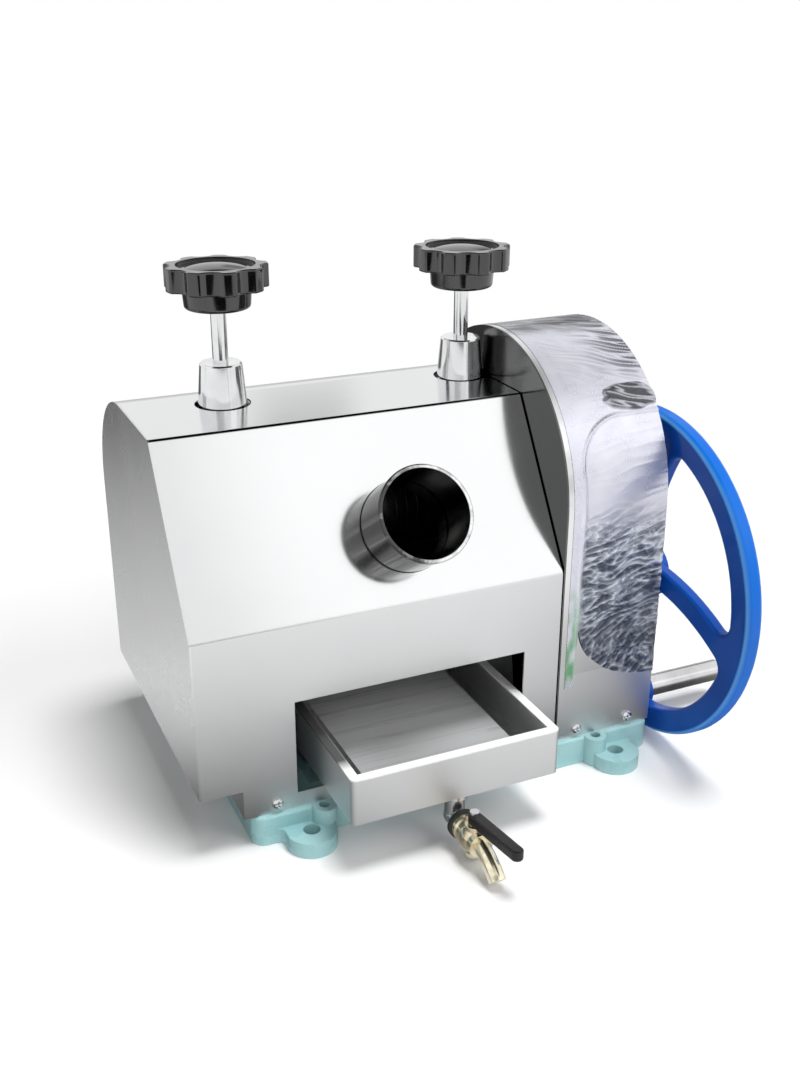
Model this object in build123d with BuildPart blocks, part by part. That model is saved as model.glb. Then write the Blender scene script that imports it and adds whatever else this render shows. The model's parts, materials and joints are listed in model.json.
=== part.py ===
"""Hand-cranked three-roller juice extractor with a pull-out tray, in millimetres.

The origin is on the floor, in the middle of the base casting's four bolt holes.
+X runs along the rollers towards the hand wheel, +Y to the back and +Z up.
"""
import os
from math import acos, atan2, cos, degrees, hypot, pi, radians, sin, sqrt, tan

from build123d import *

os.makedirs("parts", exist_ok=True)

# Base casting
base_length = 298.0
base_height = 21.0
base_reveal = 3.0
base_corner_r = 9.0
base_edge_r = 2.0
base_wall = 9.0
base_pocket_depth = 13.0
bolt_spacing_x = 228.0
lug_reach = 9.0
bolt_hole_r = 5.5
lug_r = 16.5
lug_height = 10.5
lug_fillet = 5.0
boss_r = 8.0
boss_hole_r = 3.5
boss_hole_depth = 15.0
boss_inset = 12.0
boss_reach = 1.0
post_height = 15.0
post_depth = 13.0
post_width = 28.0

# Sheet casing, seen from its end as a front, a slope, a top and a rounded back
sheet = 1.2
casing_length = 252.0
casing_depth = 218.0
casing_clearance = 21.0
fold_height = 149.5
top_height = 255.0
slope_run = 66.4
back_radius = 73.0
bend_radius = 3.0
skirt_inset = 28.0
opening_bottom = 32.0
opening_top = 97.5
opening_gap_left = 16.0
opening_gap_right = 2.2
outlet_inset = 11.0
outlet_bottom = 132.0
outlet_height = 46.0
chute_reach = 26.0
chute_fall = 14.0
chute_cheek = 24.0
chute_overlap = 16.0

# Gear cover and its film
cover_width = 78.0
cover_gap = 1.0
cover_radius = 103.5
cover_top = 291.0
cover_edge_r = 0.9
shaft_hole_gap = 2.0
film_thickness = 0.4
film_gap = 0.1
film_bottom = 60.0
film_inset_left = 4.0
film_inset_right = 0.6
film_back_angle = 60.0

# Cane inlet tube, square to the slope
inlet_along = 49.0
inlet_outer_r = 30.0
inlet_wall = 1.5
inlet_reach = 37.0
inlet_tail = 14.0
inlet_lip_r = 1.1
lip_rounding = 0.9
inlet_flange_r = 40.0
inlet_hole_gap = 0.4

# Roller press
press_setback = 123.5
frame_inset = 16.0
frame_spacing = 172.4
frame_thickness = 20.0
frame_foot_reach = 24.0
frame_waist_wall = 12.0
wheel_arm_inset = 4.0
roller_d = 62.0
roller_end_gap = 6.2
lower_spacing = 74.0
journal_r = 11.0
groove_count = 17
groove_depth = 1.2
groove_width = 3.0
running_gap = 0.05
seat_gap = 0.1
bush_wall = 4.0
block_width = 46.0
block_height = 48.0
frame_top_gap = 25.0
bridge_thickness = 16.0
bridge_overhang = 14.0
collar_wall = 5.0
turner_gap = 2.4
turner_top = 19.0
turner_neck = 10.0
turner_stem = 5.0
turner_bar_drop = 20.0
turner_bar_r = 5.0

# Gears
gear_module = 4.0
roller_teeth = 16
pinion_teeth = 12
drive_teeth = 38
pressure_angle = 25.0
addendum = 0.8
dedendum = 1.05
tooth_thinning = 0.25
roller_gear_width = 22.0
drive_gear_width = 20.0
gear_start = 5.0
drive_angle = 26.5
key_width = 6.0
key_height = 6.0
end_nut_r = 15.0
end_nut_thickness = 8.0
end_stud_r = 7.0
end_stud_tip = 2.0
end_nut_room = 3.0

# Hand wheel and its crank handle
wheel_r = 119.5
rim_depth = 18.0
rim_width = 13.0
rim_edge_r = 4.0
rim_clearance = 5.5
spoke_count = 4
spoke_width = 16.0
spoke_thickness = 9.5
spoke_angle = -13.0
spoke_sweep = 28.0
spoke_bulge = 0.07
rim_fillet = 10.0
hub_fillet = 5.0
web_edge_r = 2.5
hub_r = 20.0
hub_length = 16.0
hub_setback = 2.5
hub_edge_r = 2.0
wheel_shaft_r = 10.0
wheel_boss_r = 18.0
wheel_boss_length = 50.0
wheel_nut_r = 11.0
wheel_nut_thickness = 6.0
wheel_stud_r = 6.0
handle_radius = 101.0
handle_angle = 268.0
handle_boss_r = 13.0
handle_boss_length = 20.0
handle_r = 8.0
handle_length = 66.0
handle_edge_r = 1.0
handle_gap = 0.4
spindle_r = 5.0
spindle_head_r = 7.0
spindle_head = 3.0

# Pressure knobs, screws, pads and buffers
knob_r = 33.0
knob_lobes = 9
knob_turn = 9.0
knob_scallop_r = 9.0
knob_scallop_depth = 4.2
knob_disc = 15.0
knob_hub_r = 22.0
knob_hub = 12.5
knob_hub_taper = 1.0
knob_hub_edge_r = 2.5
knob_lift = 62.5
knob_edge_r = 2.5
knob_rim_r = 1.2
knob_dish_r = 25.0
knob_dish_depth = 2.2
knob_dome_r = 19.5
knob_dome_height = 2.4
knob_dome_root = 1.0
knob_socket = 20.0
sleeve_base_r = 16.0
sleeve_top_r = 13.7
sleeve_reach = 27.5
sleeve_edge = 1.0
sleeve_spigot_r = 9.0
sleeve_hole_r = 18.4
stem_r = 5.0
pad_r = 12.0
pad_thickness = 10.0
pad_drop = 6.0
pad_socket = 5.0
buffer_r = 12.0
buffer_bore_r = 4.5

# Tray, drip plate and rails
tray_length = 225.0
tray_gap_left = 5.8
tray_gap_right = 2.6
tray_corner_r = 3.6
tray_height = 32.0
tray_bottom = 35.5
tray_pull = 52.5
tray_rim = 6.0
drip_margin = 19.0
drip_gap = 1.0
drip_height = 13.0
drip_inset = 5.0
rail_width = 12.0
rail_gap = 0.2
rail_setback = 22.0

# Tap under the tray
tap_offset = 2.6
nipple_inset = 10.5
nipple_r = 6.5
nipple_bore_r = 4.0
nipple_tip = 1.0
nipple_collar_wall = 2.0
nipple_collar = 4.0
elbow_swell = 0.5
tap_axis_drop = 19.0
elbow_reach = 10.0
locknut_r = 10.0
locknut_thickness = 4.0
gasket_r = 10.0
gasket_thickness = 3.0
tap_body_r = 8.0
tap_body_length = 24.0
tap_flange_r = 9.0
tap_flange = 4.0
valve_r = 9.5
valve_along = 14.0
spout_r = 5.5
spout_bore_r = 3.6
spout_reach = 27.0
spout_drop = 11.0
plug_r = 3.5
plug_tail = 3.5
plug_tail_r = 5.0
plug_rise = 4.5
plug_collar_wall = 2.5
plug_collar = 1.0
lever_length = 42.0
lever_width = 8.0
lever_thickness = 7.0
lever_edge_r = 1.2
lever_turn = 9.0
lever_screw_r = 3.0
lever_screw = 1.8

# Fasteners
screw_head_r = 3.75
screw_head = 2.4
screw_r = 2.0
screw_length = 9.0
screw_hole_gap = 0.2
screw_height = 6.5
casing_screw_inset = 22.0
cover_screw_inset_left = 17.0
cover_screw_inset_right = 19.0
foot_bolt_r = 4.0
foot_bolt_head_r = 6.5
foot_bolt_head = 8.0
foot_bolt_depth = 18.0
foot_bolt_spacing = 110.0
bridge_bolt_r = 4.0
bridge_bolt_head_r = 6.5
bridge_bolt_head = 5.5
bridge_bolt_depth = 16.0
bolt_gap = 0.2
hair = 0.01

# Places worked out from the sizes above
base_width = casing_depth + 2 * base_reveal
bolt_spacing_y = base_width + 2 * lug_reach
casing_front = -casing_depth / 2
casing_back = casing_depth / 2
cover_right = base_length / 2
cover_left = cover_right - cover_width
casing_right = cover_left - cover_gap
casing_left = casing_right - casing_length
panel_bottom = base_height + casing_clearance
skirt_x = casing_left + skirt_inset
cover_centre_y = casing_front + cover_radius
cover_back = casing_front + 2 * cover_radius
cover_centre_z = cover_top - cover_radius
gear_room_left = cover_left + sheet

right_frame_x = casing_right - frame_inset
left_frame_x = right_frame_x - frame_spacing
press_x = (left_frame_x + right_frame_x) / 2
press_y = casing_front + press_setback
frame_outer_x = right_frame_x + frame_thickness / 2
roller_length = frame_spacing - frame_thickness - 2 * roller_end_gap
outlet_width = roller_length - 2 * outlet_inset

slope_rise = top_height - fold_height
slope_length = hypot(slope_run, slope_rise)
slope_y = slope_run / slope_length
slope_z = slope_rise / slope_length
inlet_y = casing_front + inlet_along * slope_y
inlet_z = fold_height + inlet_along * slope_z

roller_centres = gear_module * roller_teeth
roller_drop = sqrt(roller_centres**2 - (lower_spacing / 2) ** 2)
nip_y = press_y - lower_spacing / 4
nip_z = inlet_z - (nip_y - inlet_y) * slope_y / slope_z
upper_z = nip_z + roller_drop / 2
lower_z = upper_z - roller_drop
front_y = press_y - lower_spacing / 2
rear_y = press_y + lower_spacing / 2
drive_centres = gear_module * (pinion_teeth + drive_teeth) / 2
wheel_y = press_y - drive_centres * cos(radians(drive_angle))
wheel_z = upper_z - drive_centres * sin(radians(drive_angle))

frame_top = top_height - frame_top_gap
bridge_top = frame_top + bridge_thickness
bush_r = journal_r + running_gap + bush_wall
block_bottom = upper_z - block_height / 2
block_top = upper_z + block_height / 2
pad_top = frame_top - pad_drop
pad_bottom = pad_top - pad_thickness
knob_bottom = top_height + knob_lift
sleeve_top = top_height + sleeve_reach
roller_gear_x = cover_left + gear_start
gear_spacing = end_nut_thickness + end_stud_tip + end_nut_room
drive_gear_x = roller_gear_x + roller_gear_width + gear_spacing
drive_gear_end = drive_gear_x + drive_gear_width
roller_gear_end = roller_gear_x + roller_gear_width

rim_start = cover_right + rim_clearance
rim_x = rim_start + rim_width / 2
rim_inner_r = wheel_r - rim_depth
rim_middle_r = wheel_r - rim_depth / 2
hub_start = rim_start - hub_setback
hub_end = hub_start + hub_length
wheel_boss_start = frame_outer_x - wheel_boss_length
handle_y = wheel_y - handle_radius * cos(radians(handle_angle))
handle_z = wheel_z + handle_radius * sin(radians(handle_angle))
handle_start = rim_x + handle_boss_length / 2 + handle_gap
handle_end = handle_start + handle_length

tray_front = casing_front - tray_pull
tray_back = tray_front + tray_length
tray_left = left_frame_x + frame_thickness / 2 + tray_gap_left
tray_right = right_frame_x - frame_thickness / 2 - tray_gap_right
tap_x = (tray_left + tray_right) / 2 + tap_offset
tray_floor = tray_bottom + sheet
opening_left = tray_left - opening_gap_left
opening_right = tray_right + opening_gap_right
nipple_y = tray_front + nipple_inset
tap_z = tray_bottom - tap_axis_drop
elbow_front = nipple_y - elbow_reach
gasket_front = elbow_front - gasket_thickness
tap_body_front = gasket_front - tap_body_length
valve_y = gasket_front - valve_along
plug_top = tap_z + valve_r + plug_rise
plug_seat = tap_z + valve_r + plug_collar

sides = (("left", left_frame_x), ("right", right_frame_x))
lower_rollers = (("front", front_y), ("rear", rear_y))
slot_wall = (block_width / 2) + seat_gap
turner_bar_z = lower_z - turner_bar_drop

from_low = (Align.CENTER, Align.CENTER, Align.MIN)


def keep(name, builder):
    """Label a finished piece and write its file."""
    builder.part.label = name
    export_step(builder.part, f"parts/{name}.step")


def across_x(x, y=0.0, z=0.0):
    """A plane that looks along +X, with +Y as its first axis and +Z as its second."""
    return Plane(origin=(x, y, z), x_dir=(0, 1, 0), z_dir=(1, 0, 0))


def rod_x(start, end, y, z, radius, mode=Mode.ADD):
    """A round bar along X."""
    with Locations((start, y, z)):
        Cylinder(radius, end - start, rotation=(0, 90, 0), align=from_low, mode=mode)


def rod_forward(start, end, x, z, radius, mode=Mode.ADD):
    """A round bar along -Y, from start to end."""
    with Locations((x, start, z)):
        Cylinder(radius, start - end, rotation=(90, 0, 0), align=from_low, mode=mode)


def rod_z(start, end, x, y, radius, mode=Mode.ADD):
    """A round bar along Z."""
    with Locations((x, y, start)):
        Cylinder(radius, end - start, align=from_low, mode=mode)


def block(low, high, mode=Mode.ADD):
    """A square block between two corners."""
    size = [b - a for a, b in zip(low, high)]
    middle = tuple((a + b) / 2 for a, b in zip(low, high))
    with Locations(middle):
        Box(*size, mode=mode)


def key_block(start, end, y, z, shaft_r, mode=Mode.ADD):
    """A key that lies along X, half in the top of a shaft."""
    middle = z + shaft_r
    low = (start, y - key_width / 2, middle - key_height / 2)
    block(low, (end, y + key_width / 2, middle + key_height / 2), mode)


def meshing_phase(direction, phase, teeth, other_teeth):
    """The angle of a tooth of the other gear, so that its gap takes this gear's tooth."""
    turned = (phase - direction) * teeth / other_teeth
    return direction + 180 + 180 / other_teeth - turned


def involute(base, radius):
    """The involute angle of a base circle at a radius, in radians."""
    angle = acos(min(1.0, base / radius))
    return tan(angle) - angle


def make_gear(name, teeth, start, width, y, z, phase, shaft_r):
    """A spur gear on a keyed shaft along X, with one tooth at the given angle."""
    pitch = gear_module * teeth / 2
    base = pitch * cos(radians(pressure_angle))
    tip = pitch + addendum * gear_module
    root = pitch - dedendum * gear_module
    flank = max(base, root)
    half_tooth = pi / 2 / teeth - tooth_thinning / 2 / pitch

    def at(radius, side, centre):
        thick = half_tooth + involute(base, pitch) - involute(base, max(radius, flank))
        angle = radians(centre) + side * thick
        return (radius * cos(angle), radius * sin(angle))

    with BuildPart() as gear:
        with BuildSketch(across_x(start, y, z)):
            with BuildLine():
                for tooth in range(teeth):
                    centre = phase + 360 / teeth * tooth
                    following = centre + 360 / teeth
                    middle = (flank + tip) / 2
                    if root < flank:
                        Line(at(root, -1, centre), at(flank, -1, centre))
                        Line(at(flank, 1, centre), at(root, 1, centre))
                    ThreePointArc(at(flank, -1, centre), at(middle, -1, centre), at(tip, -1, centre))
                    ThreePointArc(at(tip, -1, centre), at(tip, 0, centre), at(tip, 1, centre))
                    ThreePointArc(at(tip, 1, centre), at(middle, 1, centre), at(flank, 1, centre))
                    gap_middle = at(root, 0, centre + 180 / teeth)
                    ThreePointArc(at(root, 1, centre), gap_middle, at(root, -1, following))
            make_face()
            Circle(shaft_r + seat_gap, mode=Mode.SUBTRACT)
        extrude(amount=width)
        key_block(start, start + width, y, z, shaft_r + seat_gap, mode=Mode.SUBTRACT)
    keep(name, gear)


def make_keys(name, places, y, z, shaft_r):
    """The keys that lock what sits on one shaft."""
    half_width = key_width / 2 - seat_gap
    half_height = key_height / 2 - seat_gap
    with BuildPart() as keys:
        for start, width in places:
            low = (start + seat_gap, y - half_width, z + shaft_r - half_height)
            block(low, (start + width - seat_gap, y + half_width, z + shaft_r + half_height))
    keep(name, keys)


def add_bush(start, end, y, z, inner_r):
    """A plain bronze bush along X."""
    rod_x(start, end, y, z, inner_r + bush_wall)
    rod_x(start, end, y, z, inner_r, mode=Mode.SUBTRACT)


def make_end_nut(name, start, thickness, radius, hole_r, y, z):
    """A hexagon nut along X that holds a gear or the wheel on its shaft."""
    with BuildPart() as nut:
        with BuildSketch(across_x(start, y, z)):
            RegularPolygon(radius, 6)
            Circle(hole_r + seat_gap, mode=Mode.SUBTRACT)
        extrude(amount=thickness)
    keep(name, nut)


def pan_screw_forward(x, face_y, z):
    """A pan-head screw whose head stands on a face that looks to -Y."""
    rod_forward(face_y, face_y - screw_head, x, z, screw_head_r)
    rod_forward(face_y + screw_length, face_y, x, z, screw_r)


def pan_screw_backward(x, face_y, z):
    """A pan-head screw whose head stands on a face that looks to +Y."""
    rod_forward(face_y + screw_head, face_y, x, z, screw_head_r)
    rod_forward(face_y, face_y - screw_length, x, z, screw_r)


# Screw places on the casing and on the gear cover
screw_z = base_height + screw_height
casing_screw_x = skirt_x + casing_screw_inset
cover_screw_xs = (cover_left + cover_screw_inset_left, cover_right - cover_screw_inset_right)
screw_places = [(casing_screw_x, casing_front, casing_back)]
screw_places += [(screw_x, casing_front, cover_back) for screw_x in cover_screw_xs]
foot_bolt_ys = (press_y - foot_bolt_spacing / 2, press_y + foot_bolt_spacing / 2)

# Base casting: a rounded plate with four bolt lugs, bosses and screw posts, hollow below
with BuildPart() as base_casting:
    with BuildSketch():
        RectangleRounded(base_length, base_width, base_corner_r)
    extrude(amount=base_height)
    top_edges = base_casting.faces().sort_by(Axis.Z)[-1].edges()
    fillet(top_edges, base_edge_r)
    with GridLocations(bolt_spacing_x, bolt_spacing_y, 2, 2):
        Cylinder(lug_r, lug_height, align=from_low)
    lug_corners = base_casting.edges().filter_by(Axis.Z).filter_by(
        lambda edge: abs(abs(edge.center().Y) - base_width / 2) < hair
        and abs(edge.length - lug_height) < hair
    )
    fillet(lug_corners, lug_fillet)
    boss_x = bolt_spacing_x - 2 * boss_inset
    boss_y = base_width + 2 * boss_reach
    with GridLocations(boss_x, boss_y, 2, 2):
        Cylinder(boss_r, base_height, align=from_low)
    post_top = base_height + post_height
    for screw_x, front, back in screw_places:
        for low_y in (front + sheet, back - sheet - post_depth):
            low = (screw_x - post_width / 2, low_y, base_height - base_edge_r)
            block(low, (screw_x + post_width / 2, low_y + post_depth, post_top))
    # Hollows below, between and beside the strips that carry the two side frames
    strip = frame_thickness / 2 + base_wall
    hollow_spans = (
        (left_frame_x + strip, right_frame_x - strip),
        (right_frame_x + strip, base_length / 2 - base_wall),
    )
    hollow_y = base_width / 2 - lug_r - base_wall
    for low_x, high_x in hollow_spans:
        block((low_x, -hollow_y, 0), (high_x, hollow_y, base_pocket_depth), mode=Mode.SUBTRACT)
    with GridLocations(bolt_spacing_x, bolt_spacing_y, 2, 2):
        Cylinder(bolt_hole_r, base_height, align=from_low, mode=Mode.SUBTRACT)
    with Locations((0, 0, base_height - boss_hole_depth)):
        with GridLocations(boss_x, boss_y, 2, 2):
            Cylinder(boss_hole_r, boss_hole_depth, align=from_low, mode=Mode.SUBTRACT)
    screw_depth = screw_length + bolt_gap
    for screw_x, front, back in screw_places:
        hole_r = screw_r + screw_hole_gap
        rod_forward(front + screw_depth, front, screw_x, screw_z, hole_r, Mode.SUBTRACT)
        rod_forward(back, back - screw_depth, screw_x, screw_z, hole_r, Mode.SUBTRACT)
    for side, frame_x in sides:
        for bolt_y in foot_bolt_ys:
            rod_z(0, base_height, frame_x, bolt_y, foot_bolt_r + bolt_gap, Mode.SUBTRACT)
            recess = foot_bolt_head + bolt_gap
            rod_z(0, recess, frame_x, bolt_y, foot_bolt_head_r + bolt_gap, Mode.SUBTRACT)
keep("base_casting", base_casting)

with BuildPart() as foot_bolts:
    for side, frame_x in sides:
        for bolt_y in foot_bolt_ys:
            rod_z(bolt_gap, foot_bolt_head + bolt_gap, frame_x, bolt_y, foot_bolt_head_r)
            rod_z(foot_bolt_head, base_height + foot_bolt_depth, frame_x, bolt_y, foot_bolt_r)
keep("foot_bolts", foot_bolts)

# Side frames: cast cheeks that carry the rollers, with an open slot for the upper bearing
frame_foot = foot_bolt_spacing / 2 + frame_foot_reach
frame_waist = lower_spacing / 2 + bush_r + frame_waist_wall
frame_neck = block_width / 2 + bridge_overhang
for side, frame_x in sides:
    with BuildPart() as side_frame:
        with BuildSketch(across_x(frame_x - frame_thickness / 2)):
            with BuildLine():
                Polyline(
                    (press_y - frame_foot, base_height),
                    (press_y + frame_foot, base_height),
                    (press_y + frame_waist, lower_z),
                    (press_y + frame_neck, upper_z),
                    (press_y + frame_neck, frame_top),
                    (press_y - frame_neck, frame_top),
                    (press_y - frame_neck, upper_z),
                    (press_y - frame_waist, lower_z),
                    close=True,
                )
            make_face()
            slot_height = frame_top - block_bottom
            with Locations((press_y, block_bottom + slot_height / 2)):
                Rectangle(2 * slot_wall, slot_height, mode=Mode.SUBTRACT)
            for lower, lower_y in lower_rollers:
                with Locations((lower_y, lower_z)):
                    Circle(bush_r + seat_gap, mode=Mode.SUBTRACT)
        extrude(amount=frame_thickness)
        if side == "right":
            arm = wheel_boss_r - wheel_arm_inset
            block(
                (frame_x - frame_thickness / 2, wheel_y, wheel_z - arm),
                (frame_x + frame_thickness / 2, press_y - frame_waist + arm, wheel_z + arm),
            )
            rod_x(wheel_boss_start, frame_outer_x, wheel_y, wheel_z, wheel_boss_r)
            wheel_bush_r = wheel_shaft_r + running_gap + bush_wall
            rod_x(
                wheel_boss_start, frame_outer_x, wheel_y, wheel_z, wheel_bush_r + seat_gap, Mode.SUBTRACT
            )
            front_hole = bush_r + seat_gap
            rod_x(
                frame_x - frame_thickness, frame_x + frame_thickness, front_y, lower_z, front_hole,
                Mode.SUBTRACT,
            )
        bar_hole = turner_bar_r + seat_gap
        rod_x(
            frame_x - frame_thickness, frame_x + frame_thickness, press_y, turner_bar_z, bar_hole,
            Mode.SUBTRACT,
        )
        for bolt_y in foot_bolt_ys:
            rod_z(
                base_height, base_height + foot_bolt_depth + bolt_gap, frame_x, bolt_y,
                foot_bolt_r + bolt_gap, Mode.SUBTRACT,
            )
        for turn in (-1, 1):
            bolt_y = press_y + turn * (slot_wall + frame_neck) / 2
            rod_z(
                frame_top - bridge_bolt_depth - bolt_gap, frame_top, frame_x, bolt_y,
                bridge_bolt_r + bolt_gap, Mode.SUBTRACT,
            )
    keep(f"{side}_side_frame", side_frame)

# Upper bearing blocks, the bushes of all three rollers, and the bridges that close the slots
half_thick = frame_thickness / 2
with BuildPart() as bearing_blocks:
    for side, frame_x in sides:
        low = (frame_x - half_thick, press_y - block_width / 2, block_bottom)
        block(low, (frame_x + half_thick, press_y + block_width / 2, block_top))
        bore_r = bush_r + seat_gap
        rod_x(frame_x - half_thick, frame_x + half_thick, press_y, upper_z, bore_r, Mode.SUBTRACT)
keep("bearing_blocks", bearing_blocks)

roller_axes = ((press_y, upper_z), (front_y, lower_z), (rear_y, lower_z))
with BuildPart() as roller_bushes:
    for side, frame_x in sides:
        for axis_y, axis_z in roller_axes:
            add_bush(frame_x - half_thick, frame_x + half_thick, axis_y, axis_z, journal_r + running_gap)
keep("roller_bushes", roller_bushes)

bridge_bolt_ys = [press_y + turn * (slot_wall + frame_neck) / 2 for turn in (-1, 1)]
with BuildPart() as bridges:
    for side, frame_x in sides:
        low = (frame_x - half_thick, press_y - frame_neck, frame_top)
        block(low, (frame_x + half_thick, press_y + frame_neck, bridge_top))
        rod_z(frame_top, bridge_top, frame_x, press_y, sleeve_spigot_r + seat_gap, Mode.SUBTRACT)
        for bolt_y in bridge_bolt_ys:
            rod_z(frame_top, bridge_top, frame_x, bolt_y, bridge_bolt_r + bolt_gap, Mode.SUBTRACT)
keep("bridges", bridges)

with BuildPart() as bridge_bolts:
    for side, frame_x in sides:
        for bolt_y in bridge_bolt_ys:
            rod_z(frame_top - bridge_bolt_depth, bridge_top, frame_x, bolt_y, bridge_bolt_r)
            with BuildSketch(Plane.XY.offset(bridge_top)):
                with Locations((frame_x, bolt_y)):
                    RegularPolygon(bridge_bolt_head_r, 6)
            extrude(amount=bridge_bolt_head)
keep("bridge_bolts", bridge_bolts)

with BuildPart() as wheel_bush:
    add_bush(wheel_boss_start, frame_outer_x, wheel_y, wheel_z, wheel_shaft_r + running_gap)
keep("wheel_bush", wheel_bush)

# Turner plate: the bar between the lower rollers that carries the crushed cane across
def half_gap(height):
    """Half the room between the lower rollers, at a height above their axes."""
    return lower_spacing / 2 - sqrt((roller_d / 2) ** 2 - height**2)


with BuildPart() as turner_plate:
    with BuildSketch(across_x(press_x - roller_length / 2, press_y, lower_z)):
        with BuildLine():
            top_half = half_gap(turner_top) - turner_gap
            stem_half = turner_stem / 2
            Polyline(
                (-stem_half, -turner_bar_drop),
                (stem_half, -turner_bar_drop),
                (stem_half, turner_neck),
                (top_half, turner_top),
                (-top_half, turner_top),
                (-stem_half, turner_neck),
                close=True,
            )
        make_face()
    extrude(amount=roller_length)
    bar_reach = frame_spacing / 2 + frame_thickness / 2
    rod_x(press_x - bar_reach, press_x + bar_reach, press_y, turner_bar_z, turner_bar_r)
keep("turner_plate", turner_plate)


def make_roller(name, y, z, shaft_end, gear_places):
    """A grooved press roller on its shaft, with a stud for the end nut and key seats."""
    inner = frame_spacing / 2 - frame_thickness / 2
    shaft_start = press_x - frame_spacing / 2 - frame_thickness / 2 - collar_wall
    roller_r = roller_d / 2
    with BuildPart() as roller:
        rod_x(shaft_start, shaft_end, y, z, journal_r)
        rod_x(shaft_end, shaft_end + end_nut_thickness + end_stud_tip, y, z, end_stud_r)
        rod_x(press_x - roller_length / 2, press_x + roller_length / 2, y, z, roller_r)
        for turn in (-1, 1):
            face = press_x + turn * roller_length / 2
            stop = press_x + turn * (inner - bolt_gap)
            rod_x(min(face, stop), max(face, stop), y, z, journal_r + collar_wall)
        groove_step = roller_length / (groove_count + 1)
        for groove in range(groove_count):
            middle = press_x - roller_length / 2 + groove_step * (groove + 1)
            with BuildSketch(across_x(middle - groove_width / 2, y, z)):
                Circle(roller_r + groove_depth)
                Circle(roller_r - groove_depth, mode=Mode.SUBTRACT)
            extrude(amount=groove_width, mode=Mode.SUBTRACT)
        for start, width in gear_places:
            key_block(start, start + width, y, z, journal_r, mode=Mode.SUBTRACT)
    keep(name, roller)


roller_gear_place = (roller_gear_x, roller_gear_width)
drive_gear_place = (drive_gear_x, drive_gear_width)
upper_places = (roller_gear_place, drive_gear_place)
make_roller("upper_roller", press_y, upper_z, drive_gear_end, upper_places)
make_roller("front_roller", front_y, lower_z, roller_gear_end, (roller_gear_place,))
make_roller("rear_roller", rear_y, lower_z, roller_gear_end, (roller_gear_place,))

# Gears: one on each roller, and the pinion and large gear that drive the upper roller
upper_phase = 0.0
to_front = degrees(atan2(lower_z - upper_z, front_y - press_y))
to_rear = degrees(atan2(lower_z - upper_z, rear_y - press_y))
front_phase = meshing_phase(to_front, upper_phase, roller_teeth, roller_teeth)
rear_phase = meshing_phase(to_rear, upper_phase, roller_teeth, roller_teeth)
drive_phase = 0.0
to_pinion = 180 + drive_angle
pinion_phase = meshing_phase(to_pinion, drive_phase, drive_teeth, pinion_teeth)

roller_gears = (
    ("upper_roller_gear", press_y, upper_z, upper_phase),
    ("front_roller_gear", front_y, lower_z, front_phase),
    ("rear_roller_gear", rear_y, lower_z, rear_phase),
)
for name, y, z, phase in roller_gears:
    make_gear(name, roller_teeth, roller_gear_x, roller_gear_width, y, z, phase, journal_r)
make_gear(
    "drive_gear", drive_teeth, drive_gear_x, drive_gear_width, press_y, upper_z, drive_phase, journal_r
)
make_keys("upper_keys", upper_places, press_y, upper_z, journal_r)
for lower, lower_y in lower_rollers:
    make_keys(f"{lower}_key", (roller_gear_place,), lower_y, lower_z, journal_r)
make_gear(
    "drive_pinion", pinion_teeth, drive_gear_x, drive_gear_width, wheel_y, wheel_z, pinion_phase,
    wheel_shaft_r,
)

# Spacer between the upper roller's two gears, and a nut on the end of each roller shaft
with BuildPart() as gear_spacer:
    rod_x(roller_gear_end, drive_gear_x, press_y, upper_z, journal_r + collar_wall)
    rod_x(roller_gear_end, drive_gear_x, press_y, upper_z, journal_r + seat_gap, Mode.SUBTRACT)
keep("gear_spacer", gear_spacer)
make_end_nut("upper_nut", drive_gear_end, end_nut_thickness, end_nut_r, end_stud_r, press_y, upper_z)
for lower, lower_y in lower_rollers:
    make_end_nut(
        f"{lower}_nut", roller_gear_end, end_nut_thickness, end_nut_r, end_stud_r, lower_y, lower_z
    )

# Wheel shaft with its inner collar, keys and nut
wheel_places = (drive_gear_place, (hub_start, hub_length))
with BuildPart() as wheel_shaft:
    rod_x(wheel_boss_start - bolt_gap - collar_wall, hub_end, wheel_y, wheel_z, wheel_shaft_r)
    collar_end = wheel_boss_start - bolt_gap
    rod_x(collar_end - collar_wall, collar_end, wheel_y, wheel_z, wheel_shaft_r + collar_wall)
    rod_x(hub_end, hub_end + wheel_nut_thickness + end_stud_tip, wheel_y, wheel_z, wheel_stud_r)
    for start, width in wheel_places:
        key_block(start, start + width, wheel_y, wheel_z, wheel_shaft_r, mode=Mode.SUBTRACT)
keep("wheel_shaft", wheel_shaft)
make_keys("wheel_keys", wheel_places, wheel_y, wheel_z, wheel_shaft_r)
make_end_nut(
    "wheel_nut", hub_end, wheel_nut_thickness, wheel_nut_r, wheel_stud_r, wheel_y, wheel_z
)

# Hand wheel: a rounded rim, a flat web of bowed spokes, a keyed hub and a boss for the handle
spoke_lines = []
for spoke in range(spoke_count):
    outer = radians(180 - spoke_angle - 360 / spoke_count * spoke)
    inner = outer - radians(spoke_sweep)
    reach = rim_middle_r - spoke_width / 2
    root = (hub_r / 2 * cos(inner), hub_r / 2 * sin(inner))
    tip = (reach * cos(outer), reach * sin(outer))
    run = (tip[0] - root[0], tip[1] - root[1])
    bow_y = (root[0] + tip[0]) / 2 + run[1] * spoke_bulge
    bow_z = (root[1] + tip[1]) / 2 - run[0] * spoke_bulge
    spoke_lines.append(Edge.make_three_point_arc(root, (bow_y, bow_z), tip))

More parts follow.
